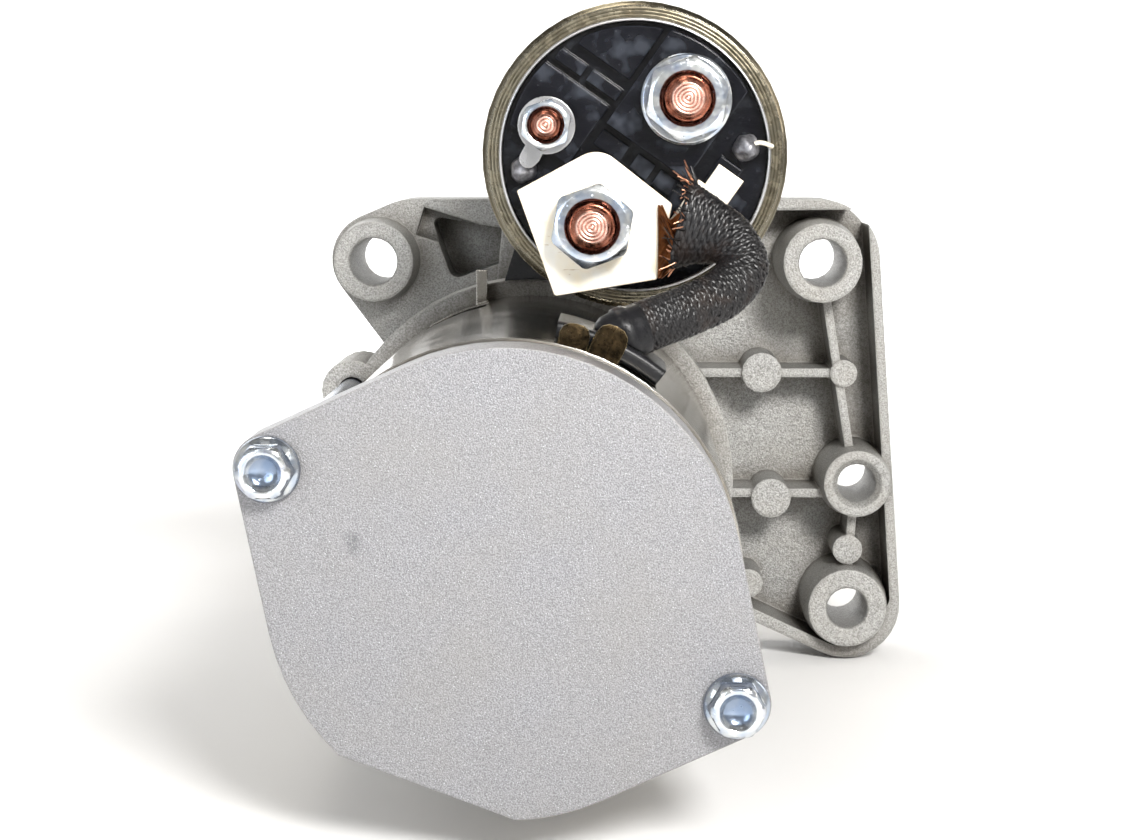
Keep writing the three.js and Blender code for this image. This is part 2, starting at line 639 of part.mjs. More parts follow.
const solenoidCore = () => leaned(turned([
  [4.6, -101.4], [CAN_INNER - GAP, -101.4], [CAN_INNER - GAP, -96.5],
  [PLUNGER_RADIUS, -96.5], [PLUNGER_RADIUS, -88], [2.6, -88], [2.6, -91.6], [4.6, -91.6],
], inSolenoid));

function plunger() {
  const wall = PRONG_TIP + 0.4;
  return leaned(turned([
    [6.8, -76], [6.8, -56], [0, -56], [0, HOOK_Y + wall + 2.5],
    [8.5, HOOK_Y + wall + 2.5], [8.5, HOOK_Y + wall], [4, HOOK_Y + wall], [4, HOOK_Y - wall],
    [8.5, HOOK_Y - wall], [8.5, HOOK_Y - wall - 2.5], [5, HOOK_Y - wall - 2.5], [5, -40],
    [PLUNGER_RADIUS, -41], [PLUNGER_RADIUS, -76],
  ], inSolenoid));
}

const returnSpring = () =>
  leaned(moved(coilSpring(5.4, 0.7, -87, -57, 6), 0, 0, AXIS_SPACING));

const contactRod = () => leaned(turned([
  [0, -107.2], [2.2, -107.2], [2.2, -93.4], [3.8, -93.4],
  [3.8, -92.4], [2.2, -92.4], [2.2, -58.2], [0, -58.2],
], { z: AXIS_SPACING, segments: 20 }));

const contactDisc = () => leaned(tube(2.5, 16.5, -105.5, -103.6, inSolenoid));

const contactSpring = () =>
  leaned(moved(coilSpring(3.2, 0.5, -102.6, -94, 3), 0, 0, AXIS_SPACING));

function solenoidCap() {
  const cup = leaned(turned([
    [0, CAP_FACE], [CAN_LIP - 0.6, CAP_FACE], [CAN_INNER - 0.4, CAP_FACE], [CAN_INNER - 0.4, -101.8],
    [20.5, -101.8], [20.5, -115.7], [0, -115.7],
  ], onSolenoid));
  const face = leaned(rod(CAN_LIP - 0.8, -140, CAP_FACE + 1, onSolenoid));
  const top = CAP_FACE + 1;
  const raised = join(
    capBlock([-7.2, 9.6], [1.8, 24], -125, top),
    capBlock([-24, -8.6], [-8, 4.4], -123, top),
    capBlock([-7.6, 9], [-24, -6], -125.2, top),
    capBlock([-19, -8.4], [10.2, 24], -121.6, top),
    capBlock([-21, -15.6], [5.8, 8], -121.8, top),
    capBlock([-14.4, -8.2], [5.8, 8], -121.8, top),
    capBlock([-7, -1.6], [-2.4, 0.6], -121.8, top),
    capBlock([0.4, 4], [-2.4, 0.6], -121.8, top),
    capBlock([5.2, 9], [-2.4, 0.6], -121.8, top),
    capBlock([12.4, 16.8], [-9, 8.6], -122.4, top),
  ).intersect(face);
  const posts = [[BATTERY_STUD, M8], [MOTOR_STUD, M8], [SIGNAL_STUD, BOLT_RADIUS]];
  const studHoles = posts.map(([place, radius]) => {
    const [x, z] = onCap(place);
    return rod(radius + 0.3, -130, -110, { x, z, segments: 24 });
  });
  return cut(join(cup, raised), ...studHoles);
}

// A stud with its contact head inside the cap and a chamfered tip outside.
function stud(place, radius, tip, head) {
  const [x, z] = onCap(place);
  return turned([
    [0, tip], [radius - 0.9, tip], [radius, tip + 0.9], [radius, -115.4], [head, -115.4],
    [head, -113.8], [0, -113.8],
  ], { x, z, segments: 20 });
}

function nut(place, flats, bore, y0, y1, washer = 0) {
  const [x, z] = onCap(place);
  const body = hexagon(flats, y0, y1, 0.35);
  const skirt = washer ? join(body, rod(washer, y1 - 1.4, y1, { segments: 36 })) : body;
  const hole = turned([
    [0, y0 - 1], [bore + 1.3, y0 - 1], [bore + 0.3, y0 + 0.4], [bore + 0.3, y1 + 1], [0, y1 + 1],
  ], { segments: 28 });
  return moved(cut(skirt, hole), x, 0, z);
}

// Flat plate under the motor terminal nut, five-sided with one rounded peak.
function motorPlate() {
  const outline = rounded([
    [0.9, 60.7, 0.4], [7.3, 43.4, 0.6], [24.2, 46, 0.4], [26.6, 58.4, 0.5], [14, 62.5, 5],
  ]);
  const [x, z] = onCap(MOTOR_STUD);
  return cut(prism(outline, -127, -125.5), rod(M8 + 0.3, -130, -120, { x, z, segments: 28 }));
}

// Ring terminal whose tail runs down to the solder bead.
function signalLug() {
  const [x, z] = onCap(SIGNAL_STUD);
  const [beadX, beadZ] = onCap(SOLDER_BEADS[0]);
  const reach = [x + 0.75 * (beadX - x), z + 0.75 * (beadZ - z)];
  const tail = prism(rounded([
    [x, z, 1.6], [...reach, 1.6], [reach[0] + 0.5, reach[1] + 0.5, 1.6],
  ]), -124.4, -123.3);
  const ring = rod(5, -124.4, -123.3, { x, z, segments: 32 });
  return cut(join(ring, tail), rod(BOLT_RADIUS + 0.3, -130, -120, { x, z, segments: 24 }));
}

function coilTab() {
  return join(
    capBlock([12.8, 18], [2.2, 7.2], -123.6, -122.7),
    capBlock([11.4, 14.2], [-6, 3], -123.6, -122.7),
  );
}

// Solder over a coil end: a dome on a short round post.
function solderBead(place, reach) {
  const [x, z] = onCap(place);
  return turned([
    [0, reach], [1, reach + 0.2], [1.9, reach + 1], [2.3, reach + 2.2],
    [2.1, CAP_FACE - 0.3], [0, CAP_FACE - 0.3],
  ], { x, z, segments: 24 });
}

// ---- motor lead ---------------------------------------------------------------------

// Moulded block on the yoke with a collar round the lead.
function leadGrommet() {
  const saddle = prism(sector(YOKE_OUTER + 0.2, 43, 0.8, 1.37), YOKE_REAR + 0.5, -136, 10);
  const collar = block([12.6, 22.3], [YOKE_REAR + 2, -139], [38, 44.5]);
  return join(saddle, cut(collar, rod(YOKE_OUTER + 1, -170, -130)));
}

function motorLead() {
  const path = new THREE.CatmullRomCurve3([
    [24.6, -148.5, 41.3], [30.5, -145.5, 41.3], [36.8, -141, 43], [41, -137, 47.2],
    [39.6, -134, 52.2], [34.8, -132.2, 54.6], [27, -131.4, 53.6],
  ].map((point) => new THREE.Vector3(...point)));
  const section = new THREE.Shape().absellipse(0, 0, 4.1, 2.7, 0, 2 * Math.PI, false, 0);
  return toSolid(new THREE.ExtrudeGeometry(section, { extrudePath: path, steps: 22, curveSegments: 5 }));
}

// ---- assembly -----------------------------------------------------------------------

const group = new THREE.Group();
group.name = 'starter_motor';

function add(name, solid, look) {
  const mesh = new THREE.Mesh(toGeometry(solid), new THREE.MeshStandardMaterial(look));
  mesh.name = name;
  group.add(mesh);
}

add('drive_end_housing', driveEndHousing(), CAST);
add('nose_bush', tube(SHAFT_RADIUS + 0.3, 8.2, 36.4, 46, { segments: 20 }), BRONZE);
add('rear_cover', rearCover(), CAST);
add('rear_bush', tube(JOURNAL + 0.3, 6, COVER_REAR + 5, -159.5, { segments: 20 }), BRONZE);
add('yoke', yoke(), STEEL);
for (let i = 0; i < MAGNETS; i += 1) add(`magnet_${i + 1}`, magnet(i), FERRITE);
add('brush_holder', brushHolder(), PLASTIC);
for (let i = 0; i < BRUSHES; i += 1) add(`brush_${i + 1}`, brush(i), CARBON);
boltPlaces.forEach((place, i) => add(`through_bolt_${i + 1}`, throughBolt(place), ZINC));

add('armature_shaft', armatureShaft(), STEEL);
add('armature_core', armatureCore(), STEEL);
add('armature_windings', armatureWindings(), COPPER);
add('commutator', commutator(), COPPER);

add('ring_gear', ringGear(), STEEL);
for (let i = 0; i < PLANETS; i += 1) add(`planet_gear_${i + 1}`, planetGear(i), STEEL);
add('output_shaft', outputShaft(), STEEL);
add('bearing_plate', bearingPlate(), STEEL);
add('clutch_sleeve', clutchSleeve(), STEEL);
add('pinion', pinion(), STEEL);
add('stop_collar', stopCollar(), STEEL);
add('snap_ring', snapRing(), STEEL);

add('shift_fork', shiftFork(), PLASTIC);
add('fork_pivot_pin', pivotPin(), STEEL);
add('lever_seal', leverSeal(), RUBBER);

add('solenoid_can', solenoidCan(), OLIVE);
solenoidScrewPlaces.forEach((place, i) => add(`solenoid_screw_${i + 1}`, solenoidScrew(place), ZINC));
add('solenoid_coil', solenoidCoil(), COPPER);
add('solenoid_core', solenoidCore(), STEEL);
add('plunger', plunger(), STEEL);
add('return_spring', returnSpring(), STEEL);
add('contact_rod', contactRod(), STEEL);
add('contact_disc', contactDisc(), COPPER);
add('contact_spring', contactSpring(), STEEL);
add('solenoid_cap', solenoidCap(), PLASTIC);
add('battery_stud', stud(BATTERY_STUD, M8, -137.5, 6.4), COPPER);
add('battery_nut', nut(BATTERY_STUD, M8_FLATS, M8, -133.6, -125.3, 7.9), ZINC);
add('motor_stud', stud(MOTOR_STUD, M8, -138, 6.4), COPPER);
add('motor_nut', nut(MOTOR_STUD, M8_FLATS, M8, -133.8, -127.3), ZINC);
add('motor_plate', motorPlate(), TIN);
add('signal_stud', stud(SIGNAL_STUD, BOLT_RADIUS, -131, 3.6), COPPER);
add('signal_lug', signalLug(), TIN);
add('signal_nut', nut(SIGNAL_STUD, M5_FLATS, BOLT_RADIUS, -128.8, -124.7), ZINC);
add('coil_tab', coilTab(), TIN);
add('solder_bead_1', solderBead(SOLDER_BEADS[0], -123.2), TIN);
add('solder_bead_2', solderBead(SOLDER_BEADS[1], -126), TIN);
add('lead_grommet', leadGrommet(), RUBBER);
add('motor_lead', motorLead(), RUBBER);

export default group;
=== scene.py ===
"""Looks for the starter motor: finishes, fine geometry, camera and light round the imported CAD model.

Lengths are in metres in the frame of the part: the motor's axis is Y, its rear faces -Y and up is +Z.
Positions are read from the CAD nodes' boxes.
"""
import math
import random

import bpy
from mathutils import Matrix, Vector, noise


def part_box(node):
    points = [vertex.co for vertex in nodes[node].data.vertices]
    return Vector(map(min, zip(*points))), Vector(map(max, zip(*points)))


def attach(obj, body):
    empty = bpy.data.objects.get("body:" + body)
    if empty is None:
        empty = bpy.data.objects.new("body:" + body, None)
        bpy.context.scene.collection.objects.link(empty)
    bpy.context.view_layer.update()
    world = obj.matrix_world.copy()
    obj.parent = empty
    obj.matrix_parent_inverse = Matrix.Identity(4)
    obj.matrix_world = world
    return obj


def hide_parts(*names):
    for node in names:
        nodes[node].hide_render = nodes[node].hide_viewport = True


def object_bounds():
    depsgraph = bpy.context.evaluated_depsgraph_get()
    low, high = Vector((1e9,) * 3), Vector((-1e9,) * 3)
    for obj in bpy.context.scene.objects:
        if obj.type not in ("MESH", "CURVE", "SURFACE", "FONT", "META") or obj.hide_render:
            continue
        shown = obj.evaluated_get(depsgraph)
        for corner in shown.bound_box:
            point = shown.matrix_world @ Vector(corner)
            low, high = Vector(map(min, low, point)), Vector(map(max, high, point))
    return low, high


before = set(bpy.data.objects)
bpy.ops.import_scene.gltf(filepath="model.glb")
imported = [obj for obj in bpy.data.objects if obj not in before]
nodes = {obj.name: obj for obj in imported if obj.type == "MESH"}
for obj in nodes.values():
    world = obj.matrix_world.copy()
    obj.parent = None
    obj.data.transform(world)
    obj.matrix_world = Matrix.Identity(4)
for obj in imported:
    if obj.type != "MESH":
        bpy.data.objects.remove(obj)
cad_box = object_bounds()

MM = 0.001
UP = Vector((0, 0, 1))


# ---- finishes -----------------------------------------------------------------------

class Finish:
    """A Principled material under construction. Each method adds a node and returns its output."""

    def __init__(self, name, **uniform):
        self.material = bpy.data.materials.new(name)
        self.material.use_nodes = True
        self.tree = self.material.node_tree
        self.shader = self.tree.nodes["Principled BSDF"]
        for socket, value in uniform.items():
            self.shader.inputs[socket.replace("_", " ")].default_value = value
        self.place = self.node("ShaderNodeTexCoord").outputs["Object"]

    def node(self, kind, inputs=None, **settings):
        made = self.tree.nodes.new(kind)
        for key, value in settings.items():
            setattr(made, key, value)
        for socket, value in (inputs or {}).items():
            self.feed(made.inputs[socket], value)
        return made

    def feed(self, socket, value):
        if isinstance(value, bpy.types.NodeSocket):
            self.tree.links.new(value, socket)
        else:
            socket.default_value = value

    def stretched(self, factors):
        scale = {0: self.place, 1: factors}
        return self.node("ShaderNodeVectorMath", scale, operation="MULTIPLY").outputs[0]

    def grain(self, size, detail=3.0, stretch=None):
        """Noise with features of about that size, from 0 to 1."""
        where = self.stretched(stretch) if stretch else self.place
        inputs = {"Vector": where, "Scale": 1 / size, "Detail": detail, "Roughness": 0.6}
        return self.node("ShaderNodeTexNoise", inputs).outputs[0]

    def cells(self, size):
        """Distance to the nearest of scattered points, 0 at a point."""
        inputs = {"Vector": self.place, "Scale": 1 / size}
        return self.node("ShaderNodeTexVoronoi", inputs).outputs["Distance"]

    def spread(self, value, low, high, to_low=0.0, to_high=1.0):
        """Maps low..high of a value to to_low..to_high, clamped."""
        inputs = {"Value": value, "From Min": low, "From Max": high, "To Min": to_low, "To Max": to_high}
        return self.node("ShaderNodeMapRange", inputs).outputs[0]

    def math(self, operation, a, b=0.0):
        return self.node("ShaderNodeMath", {0: a, 1: b}, operation=operation).outputs[0]

    def blend(self, share, a, b):
        """Colour a where share is 0 and colour b where it is 1."""
        made = self.node("ShaderNodeMix", data_type="RGBA")
        for socket, value in zip((made.inputs[0], made.inputs[6], made.inputs[7]), (share, a, b)):
            self.feed(socket, value)
        return made.outputs[2]

    def radius(self, centre):
        """Distance from an axis along Y through centre."""
        offset = self.node("ShaderNodeVectorMath", {0: self.place, 1: centre}, operation="SUBTRACT")
        flat = self.node("ShaderNodeVectorMath", {0: offset.outputs[0], 1: (1, 0, 1)}, operation="MULTIPLY")
        return self.node("ShaderNodeVectorMath", {0: flat.outputs[0]}, operation="LENGTH").outputs["Value"]

    def waves(self, distance, pitch):
        """0 to 1 and back once every pitch of a distance."""
        turns = self.math("MULTIPLY", distance, 2 * math.pi / pitch)
        return self.spread(self.math("SINE", turns), -1.0, 1.0)

    def rounded_normal(self, radius):
        return self.node("ShaderNodeBevel", {"Radius": radius}, samples=4).outputs[0]

    def edge_wear_and_highlight(self, radius):
        """1 on sharp edges, 0 on open faces: the mask for edge wear on some finishes and for painted
        highlights on the edges of others.
        """
        true_normal = self.node("ShaderNodeNewGeometry").outputs["Normal"]
        turn = self.node("ShaderNodeVectorMath", {0: self.rounded_normal(radius), 1: true_normal},
                         operation="DOT_PRODUCT")
        return self.spread(turn.outputs["Value"], 0.98, 0.78)

    def corner_shade(self, reach):
        """1 deep in a corner, 0 in the open, from ambient occlusion: the mask for painted shade."""
        shade = self.node("ShaderNodeAmbientOcclusion", {"Distance": reach}, samples=6)
        return self.spread(shade.outputs["AO"], 0.85, 0.3)

    def dress(self, colour, roughness, height, depth, rounding=0.0):
        """Wires the colour, the roughness and a bump of that depth into the shader."""
        self.feed(self.shader.inputs["Base Color"], colour)
        self.feed(self.shader.inputs["Roughness"], roughness)
        bump = self.node("ShaderNodeBump", {"Height": height, "Distance": depth, "Strength": 0.9})
        if rounding:
            self.feed(bump.inputs["Normal"], self.rounded_normal(rounding))
        self.feed(self.shader.inputs["Normal"], bump.outputs[0])
        return self.material


def cast_aluminium():
    """The housing's as-cast skin: grey, grainy, with painted brown shade in the corners and bright on the
    edges.
    """
    f = Finish("cast_aluminium", Metallic=0.55)
    fine, patches = f.grain(0.34 * MM, 4), f.grain(9 * MM, 3)
    grey = f.blend(f.spread(fine, 0.36, 0.64), (0.235, 0.232, 0.222, 1), (0.50, 0.50, 0.49, 1))
    grey = f.blend(f.spread(patches, 0.35, 0.75, 0, 0.3), grey, (0.36, 0.335, 0.29, 1))
    # Painted shade: dark brown where ambient occlusion finds a corner.
    grey = f.blend(f.math("MULTIPLY", f.corner_shade(7 * MM), 0.8), grey, (0.085, 0.07, 0.052, 1))
    colour = f.blend(f.math("MULTIPLY", f.edge_wear_and_highlight(0.7 * MM), 0.55), grey, (0.66, 0.65, 0.62, 1))
    rough = f.spread(f.grain(1.1 * MM), 0.3, 0.7, 0.42, 0.66)
    return f.dress(colour, rough, f.math("ADD", fine, f.grain(0.9 * MM)), 0.22 * MM, 1.1 * MM)


def blasted_aluminium():
    """The rear cover's fine shot-blasted face, with painted glints on its facets and one scuff."""
    f = Finish("blasted_aluminium", Metallic=0.5)
    fine, drift = f.grain(0.26 * MM, 3), f.grain(14 * MM, 2)
    grey = f.blend(f.spread(fine, 0.36, 0.64), (0.16, 0.16, 0.172, 1), (0.33, 0.33, 0.342, 1))
    grey = f.blend(f.spread(drift, 0.3, 0.75, 0, 0.28), grey, (0.25, 0.24, 0.22, 1))
    # Painted glints: pale bluish points scattered over the face.
    painted_glints = f.spread(f.cells(0.62 * MM), 0.17, 0.08, 0, 0.6)
    grey = f.blend(painted_glints, grey, (0.62, 0.63, 0.67, 1))
    low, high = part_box("rear_cover")
    mark = (low.x + 0.22 * (high.x - low.x), 0, low.z + 0.59 * (high.z - low.z))
    spot = f.spread(f.radius(mark), 2.4 * MM, 0.5 * MM)
    scuff = f.math("MULTIPLY", spot, f.spread(f.grain(0.8 * MM), 0.42, 0.6))
    grey = f.blend(f.math("MULTIPLY", scuff, 0.7), grey, (0.10, 0.10, 0.11, 1))
    colour = f.blend(f.math("MULTIPLY", f.edge_wear_and_highlight(0.5 * MM), 0.5), grey, (0.55, 0.53, 0.50, 1))
    rough = f.spread(f.grain(0.7 * MM), 0.3, 0.7, 0.36, 0.56)
    return f.dress(colour, rough, fine, 0.13 * MM, 0.6 * MM)


def turned_steel(name, base, tint, roughness):
    """Steel finished in a lathe: fine lines round the Y axis, faint stains and painted highlights on the
    edges.
    """
    f = Finish(name, Metallic=1.0, Anisotropic=0.35)
    lines = f.grain(1.2 * MM, 4, (0.06, 4.0, 0.06))
    stains = f.grain(8 * MM, 3)
    metal = f.blend(f.spread(lines, 0.35, 0.65), base, tuple(0.72 * c for c in base[:3]) + (1,))
    metal = f.blend(f.spread(stains, 0.45, 0.72, 0, 0.35), metal, tint)
    # Painted highlights: the edges turn nearly white.
    colour = f.blend(f.math("MULTIPLY", f.edge_wear_and_highlight(0.4 * MM), 0.7), metal, (0.9, 0.89, 0.86, 1))
    rough = f.spread(f.math("ADD", lines, stains), 0.7, 1.3, roughness * 0.7, roughness * 1.5)
    return f.dress(colour, rough, lines, 0.02 * MM, 0.35 * MM)


def passivated_steel(node):
    """Dark olive passivation over turned steel: rings round the node's axis and brown stains."""
    f = Finish("passivated_steel", Metallic=1.0, Anisotropic=0.3)
    low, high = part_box(node)
    wander = f.math("MULTIPLY", f.grain(1.5 * MM), 0.12 * MM)
    rings = f.waves(f.math("ADD", f.radius((low + high) / 2), wander), 0.6 * MM)
    metal = f.blend(f.spread(rings, 0.1, 0.9), (0.12, 0.108, 0.078, 1), (0.215, 0.195, 0.145, 1))
    metal = f.blend(f.spread(f.grain(7 * MM, 3), 0.42, 0.7, 0, 0.45), metal, (0.12, 0.088, 0.048, 1))
    # Painted highlights: the edges turn pale.
    colour = f.blend(f.math("MULTIPLY", f.edge_wear_and_highlight(0.4 * MM), 0.7), metal, (0.62, 0.60, 0.52, 1))
    rough = f.spread(f.grain(1.2 * MM), 0.3, 0.7, 0.16, 0.34)
    return f.dress(colour, rough, rings, 0.03 * MM, 0.35 * MM)


def bright_zinc(name="bright_zinc", dish=None):
    """Bright zinc plate: bluish white with faint straw and violet clouds and small tool marks, with painted
    shade in corners and on faces that turn away from the Y axis, and painted highlights on edges.

    A dish is a centre and a radius; painted shade makes the plate darker and bluer within it.
    """
    f = Finish(name, Metallic=1.0)
    clouds = f.grain(3.2 * MM, 2)
    metal = f.blend(f.spread(clouds, 0.35, 0.6), (0.44, 0.51, 0.62, 1), (0.70, 0.72, 0.72, 1))
    metal = f.blend(f.spread(f.grain(2.1 * MM, 2), 0.58, 0.72, 0, 0.5), metal, (0.42, 0.44, 0.60, 1))
    # Painted shade: darker where ambient occlusion finds a corner.
    metal = f.blend(f.math("MULTIPLY", f.corner_shade(1.5 * MM), 0.6), metal, (0.16, 0.15, 0.17, 1))
    # Painted shade: faces that turn away from the Y axis, such as the hex flats, are darker and bluer.
    upright = f.node("ShaderNodeSeparateXYZ", {0: f.node("ShaderNodeNewGeometry").outputs["Normal"]})
    flats = f.spread(f.math("ABSOLUTE", upright.outputs["Y"]), 0.75, 0.25, 0, 0.7)
    metal = f.blend(flats, metal, (0.10, 0.13, 0.19, 1))
    if dish:
        centre, radius = dish
        # Painted shade: darker and bluer within the dish.
        dish_shade = f.spread(f.radius(centre), radius, 0.8 * radius, 0, 0.75)
        metal = f.blend(dish_shade, metal, (0.13, 0.20, 0.33, 1))
    # Painted highlights: the edges turn nearly white.
    colour = f.blend(f.math("MULTIPLY", f.edge_wear_and_highlight(0.25 * MM), 0.6), metal, (0.97, 0.97, 0.95, 1))
    nicks = f.spread(f.cells(1.6 * MM), 0.16, 0.06)
    rough = f.math("ADD", f.spread(f.grain(0.8 * MM), 0.3, 0.7, 0.12, 0.26), f.math("MULTIPLY", nicks, 0.2))
    return f.dress(colour, rough, f.math("SUBTRACT", f.grain(0.5 * MM), nicks), 0.02 * MM, 0.25 * MM)


def turned_copper(name, node, radius):
    """A copper stud: turning rings on its end, dark red where the tool didn't reach."""
    low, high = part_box(node)
    centre = (low + high) / 2
    f = Finish(name, Metallic=1.0)
    from_axis = f.radius(centre)
    rings = f.waves(f.math("ADD", from_axis, f.math("MULTIPLY", f.grain(1.5 * MM), 0.10 * MM)), 0.62 * MM)
    fresh = f.blend(f.spread(rings, 0.1, 0.9), (0.42, 0.19, 0.14, 1), (0.72, 0.46, 0.38, 1))
    aged = f.blend(f.spread(f.grain(1.4 * MM), 0.35, 0.65), (0.22, 0.06, 0.035, 1), (0.42, 0.16, 0.10, 1))
    colour = f.blend(f.spread(from_axis, 0.70 * radius, 0.80 * radius), fresh, aged)
    rough = f.spread(f.grain(0.6 * MM), 0.3, 0.7, 0.2, 0.38)
    return f.dress(colour, rough, rings, 0.09 * MM)


def gloss_moulding():
    """The terminal cap: glossy black thermoset with dust, a pale painted sheen, painted highlights on its
    edges and painted shade that blackens its grooves.
    """
    f = Finish("gloss_moulding", Metallic=0.0, Specular_IOR_Level=0.3,
               Coat_Weight=0.12, Coat_Roughness=0.06)
    flow = f.grain(5 * MM, 3)
    black = f.blend(f.spread(flow, 0.3, 0.7), (0.002, 0.002, 0.004, 1), (0.007, 0.008, 0.012, 1))
    dust = f.math("MULTIPLY", f.spread(f.cells(1.5 * MM), 0.1, 0.03), 0.5)
    colour = f.blend(dust, black, (0.07, 0.07, 0.08, 1))
    # Painted highlights: pale bluish clouds over the black.
    painted_sheen = f.spread(f.grain(5 * MM, 2), 0.52, 0.66, 0, 0.8)
    colour = f.blend(painted_sheen, colour, (0.034, 0.039, 0.050, 1))
    # Painted highlights: bluish edges.
    colour = f.blend(f.math("MULTIPLY", f.edge_wear_and_highlight(0.3 * MM), 0.35), colour, (0.07, 0.08, 0.11, 1))
    # Painted shade: near black deep in the grooves and corners.
    colour = f.blend(f.corner_shade(3 * MM), colour, (0.0005, 0.0005, 0.001, 1))
    rough = f.math("ADD", f.spread(flow, 0.3, 0.7, 0.1, 0.24), f.math("MULTIPLY", dust, 0.5))
    return f.dress(colour, rough, f.grain(1.1 * MM), 0.05 * MM, 0.45 * MM)


def dull_moulding(name, base, roughness, coat=0.0):
    """Rubber and filled plastics: fine grain, flow marks and a dusty bloom."""
    f = Finish(name, Metallic=0.0, Specular_IOR_Level=0.25, Coat_Weight=coat, Coat_Roughness=0.2)
    flow, fine = f.grain(4 * MM, 3), f.grain(0.3 * MM)
    paler = tuple(1.8 * c + 0.002 for c in base) + (1,)
    skin = f.blend(f.spread(flow, 0.3, 0.7), (*base, 1), paler)
    colour = f.blend(f.spread(f.grain(1.3 * MM, 4), 0.58, 0.76, 0, 0.22), skin, (0.06, 0.057, 0.052, 1))
    rough = f.spread(fine, 0.3, 0.7, roughness * 0.8, min(1.0, roughness * 1.2))
    return f.dress(colour, rough, f.math("ADD", fine, flow), 0.07 * MM, 0.6 * MM)


def bright_tin():
    """Tinned copper: nearly white, warm at the edges, with hair scratches."""
    f = Finish("bright_tin", Metallic=0.5)
    soft = f.grain(5 * MM, 2)
    metal = f.blend(f.spread(soft, 0.35, 0.65), (1.0, 0.97, 0.89, 1), (1.0, 0.90, 0.70, 1))
    scratch = f.spread(f.grain(2.2 * MM, 3, (1.0, 1.0, 9.0)), 0.66, 0.73)
    metal = f.blend(f.math("MULTIPLY", scratch, 0.7), metal, (0.52, 0.36, 0.16, 1))
    colour = f.blend(f.math("MULTIPLY", f.edge_wear_and_highlight(0.4 * MM), 0.8), metal, (0.72, 0.46, 0.20, 1))
    rough = f.spread(f.grain(1.4 * MM), 0.3, 0.7, 0.3, 0.44)
    return f.dress(colour, rough, f.math("SUBTRACT", soft, scratch), 0.02 * MM, 0.3 * MM)


def dull_solder():
    """Frosted solder with grey flux marks."""
    f = Finish("dull_solder", Metallic=0.7)
    cloud = f.grain(1.3 * MM, 4)
    colour = f.blend(f.spread(cloud, 0.35, 0.65), (0.10, 0.10, 0.11, 1), (0.30, 0.30, 0.32, 1))
    rough = f.spread(f.grain(0.5 * MM), 0.3, 0.7, 0.28, 0.5)
    return f.dress(colour, rough, f.grain(0.7 * MM), 0.08 * MM)


def plain_metal(name, base, aged, roughness, depth=0.03, metallic=1.0):
    """Any other metal or sinter: mottled between two colours, with a fine grained skin."""
    f = Finish(name, Metallic=metallic)
    mottle, fine = f.grain(2.6 * MM, 4), f.grain(0.3 * MM)
    colour = f.blend(f.spread(mottle, 0.35, 0.68), (*base, 1), (*aged, 1))
    rough = f.spread(fine, 0.3, 0.7, roughness * 0.75, min(1.0, roughness * 1.25))
    return f.dress(colour, rough, fine, depth * MM, 0.3 * MM)


def braid_yarn():
    """Varnished black glass yarn: glossy crowns with dusty brown between them."""
    f = Finish("braid_yarn", Metallic=0.0, Specular_IOR_Level=0.35, Coat_Weight=0.12, Coat_Roughness=0.15)
    fibres = f.grain(0.22 * MM, 2)
    black = f.blend(f.spread(fibres, 0.35, 0.65), (0.001, 0.001, 0.0015, 1), (0.010, 0.009, 0.010, 1))
    colour = f.blend(f.spread(f.grain(6 * MM, 2), 0.5, 0.75, 0, 0.5), black, (0.028, 0.013, 0.006, 1))
    rough = f.spread(fibres, 0.3, 0.7, 0.28, 0.5)
    return f.dress(colour, rough, fibres, 0.05 * MM)


def edge_worn_brass():
    """Tarnished brass leaf, brown on its faces and bright on its edges."""
    f = Finish("edge_worn_brass", Metallic=1.0)
    mottle = f.spread(f.grain(1.6 * MM), 0.35, 0.65)
    brown = f.blend(mottle, (0.012, 0.009, 0.005, 1), (0.045, 0.031, 0.016, 1))
    colour = f.blend(f.edge_wear_and_highlight(0.16 * MM), brown, (0.85, 0.68, 0.36, 1))
    rough = f.spread(f.grain(0.7 * MM), 0.3, 0.7, 0.2, 0.4)
    return f.dress(colour, rough, f.grain(0.5 * MM), 0.03 * MM, 0.2 * MM)


FINISHES = {
    "cast_aluminium": cast_aluminium(),
    "blasted_aluminium": blasted_aluminium(),
    "polished_steel": turned_steel("polished_steel", (0.44, 0.42, 0.38, 1), (0.26, 0.19, 0.11, 1), 0.13),
    "passivated_steel": passivated_steel("solenoid_can"),
    "machined_steel": turned_steel("machined_steel", (0.56, 0.56, 0.57, 1), (0.40, 0.38, 0.36, 1), 0.28),
    "bright_zinc": bright_zinc(),
    "gloss_moulding": gloss_moulding(),
    "rubber": dull_moulding("rubber", (0.004, 0.004, 0.005), 0.34, 0.1),
    "nylon": dull_moulding("nylon", (0.020, 0.020, 0.022), 0.5),
    "bright_tin": bright_tin(),
    "dull_solder": dull_solder(),
    "bronze": plain_metal("bronze", (0.55, 0.38, 0.18), (0.33, 0.2, 0.09), 0.42),
    "copper": plain_metal("copper", (0.80, 0.42, 0.27), (0.48, 0.2, 0.11), 0.3),
    "burnt_copper": plain_metal("burnt_copper", (0.34, 0.12, 0.04), (0.08, 0.028, 0.012), 0.34),
    "ferrite": plain_metal("ferrite", (0.055, 0.055, 0.06), (0.10, 0.10, 0.10), 0.6, 0.06, 0.2),
    "carbon": plain_metal("carbon", (0.06, 0.05, 0.045), (0.14, 0.09, 0.07), 0.7, 0.06, 0.3),
    "edge_worn_brass": edge_worn_brass(),
    "braid_yarn": braid_yarn(),
}

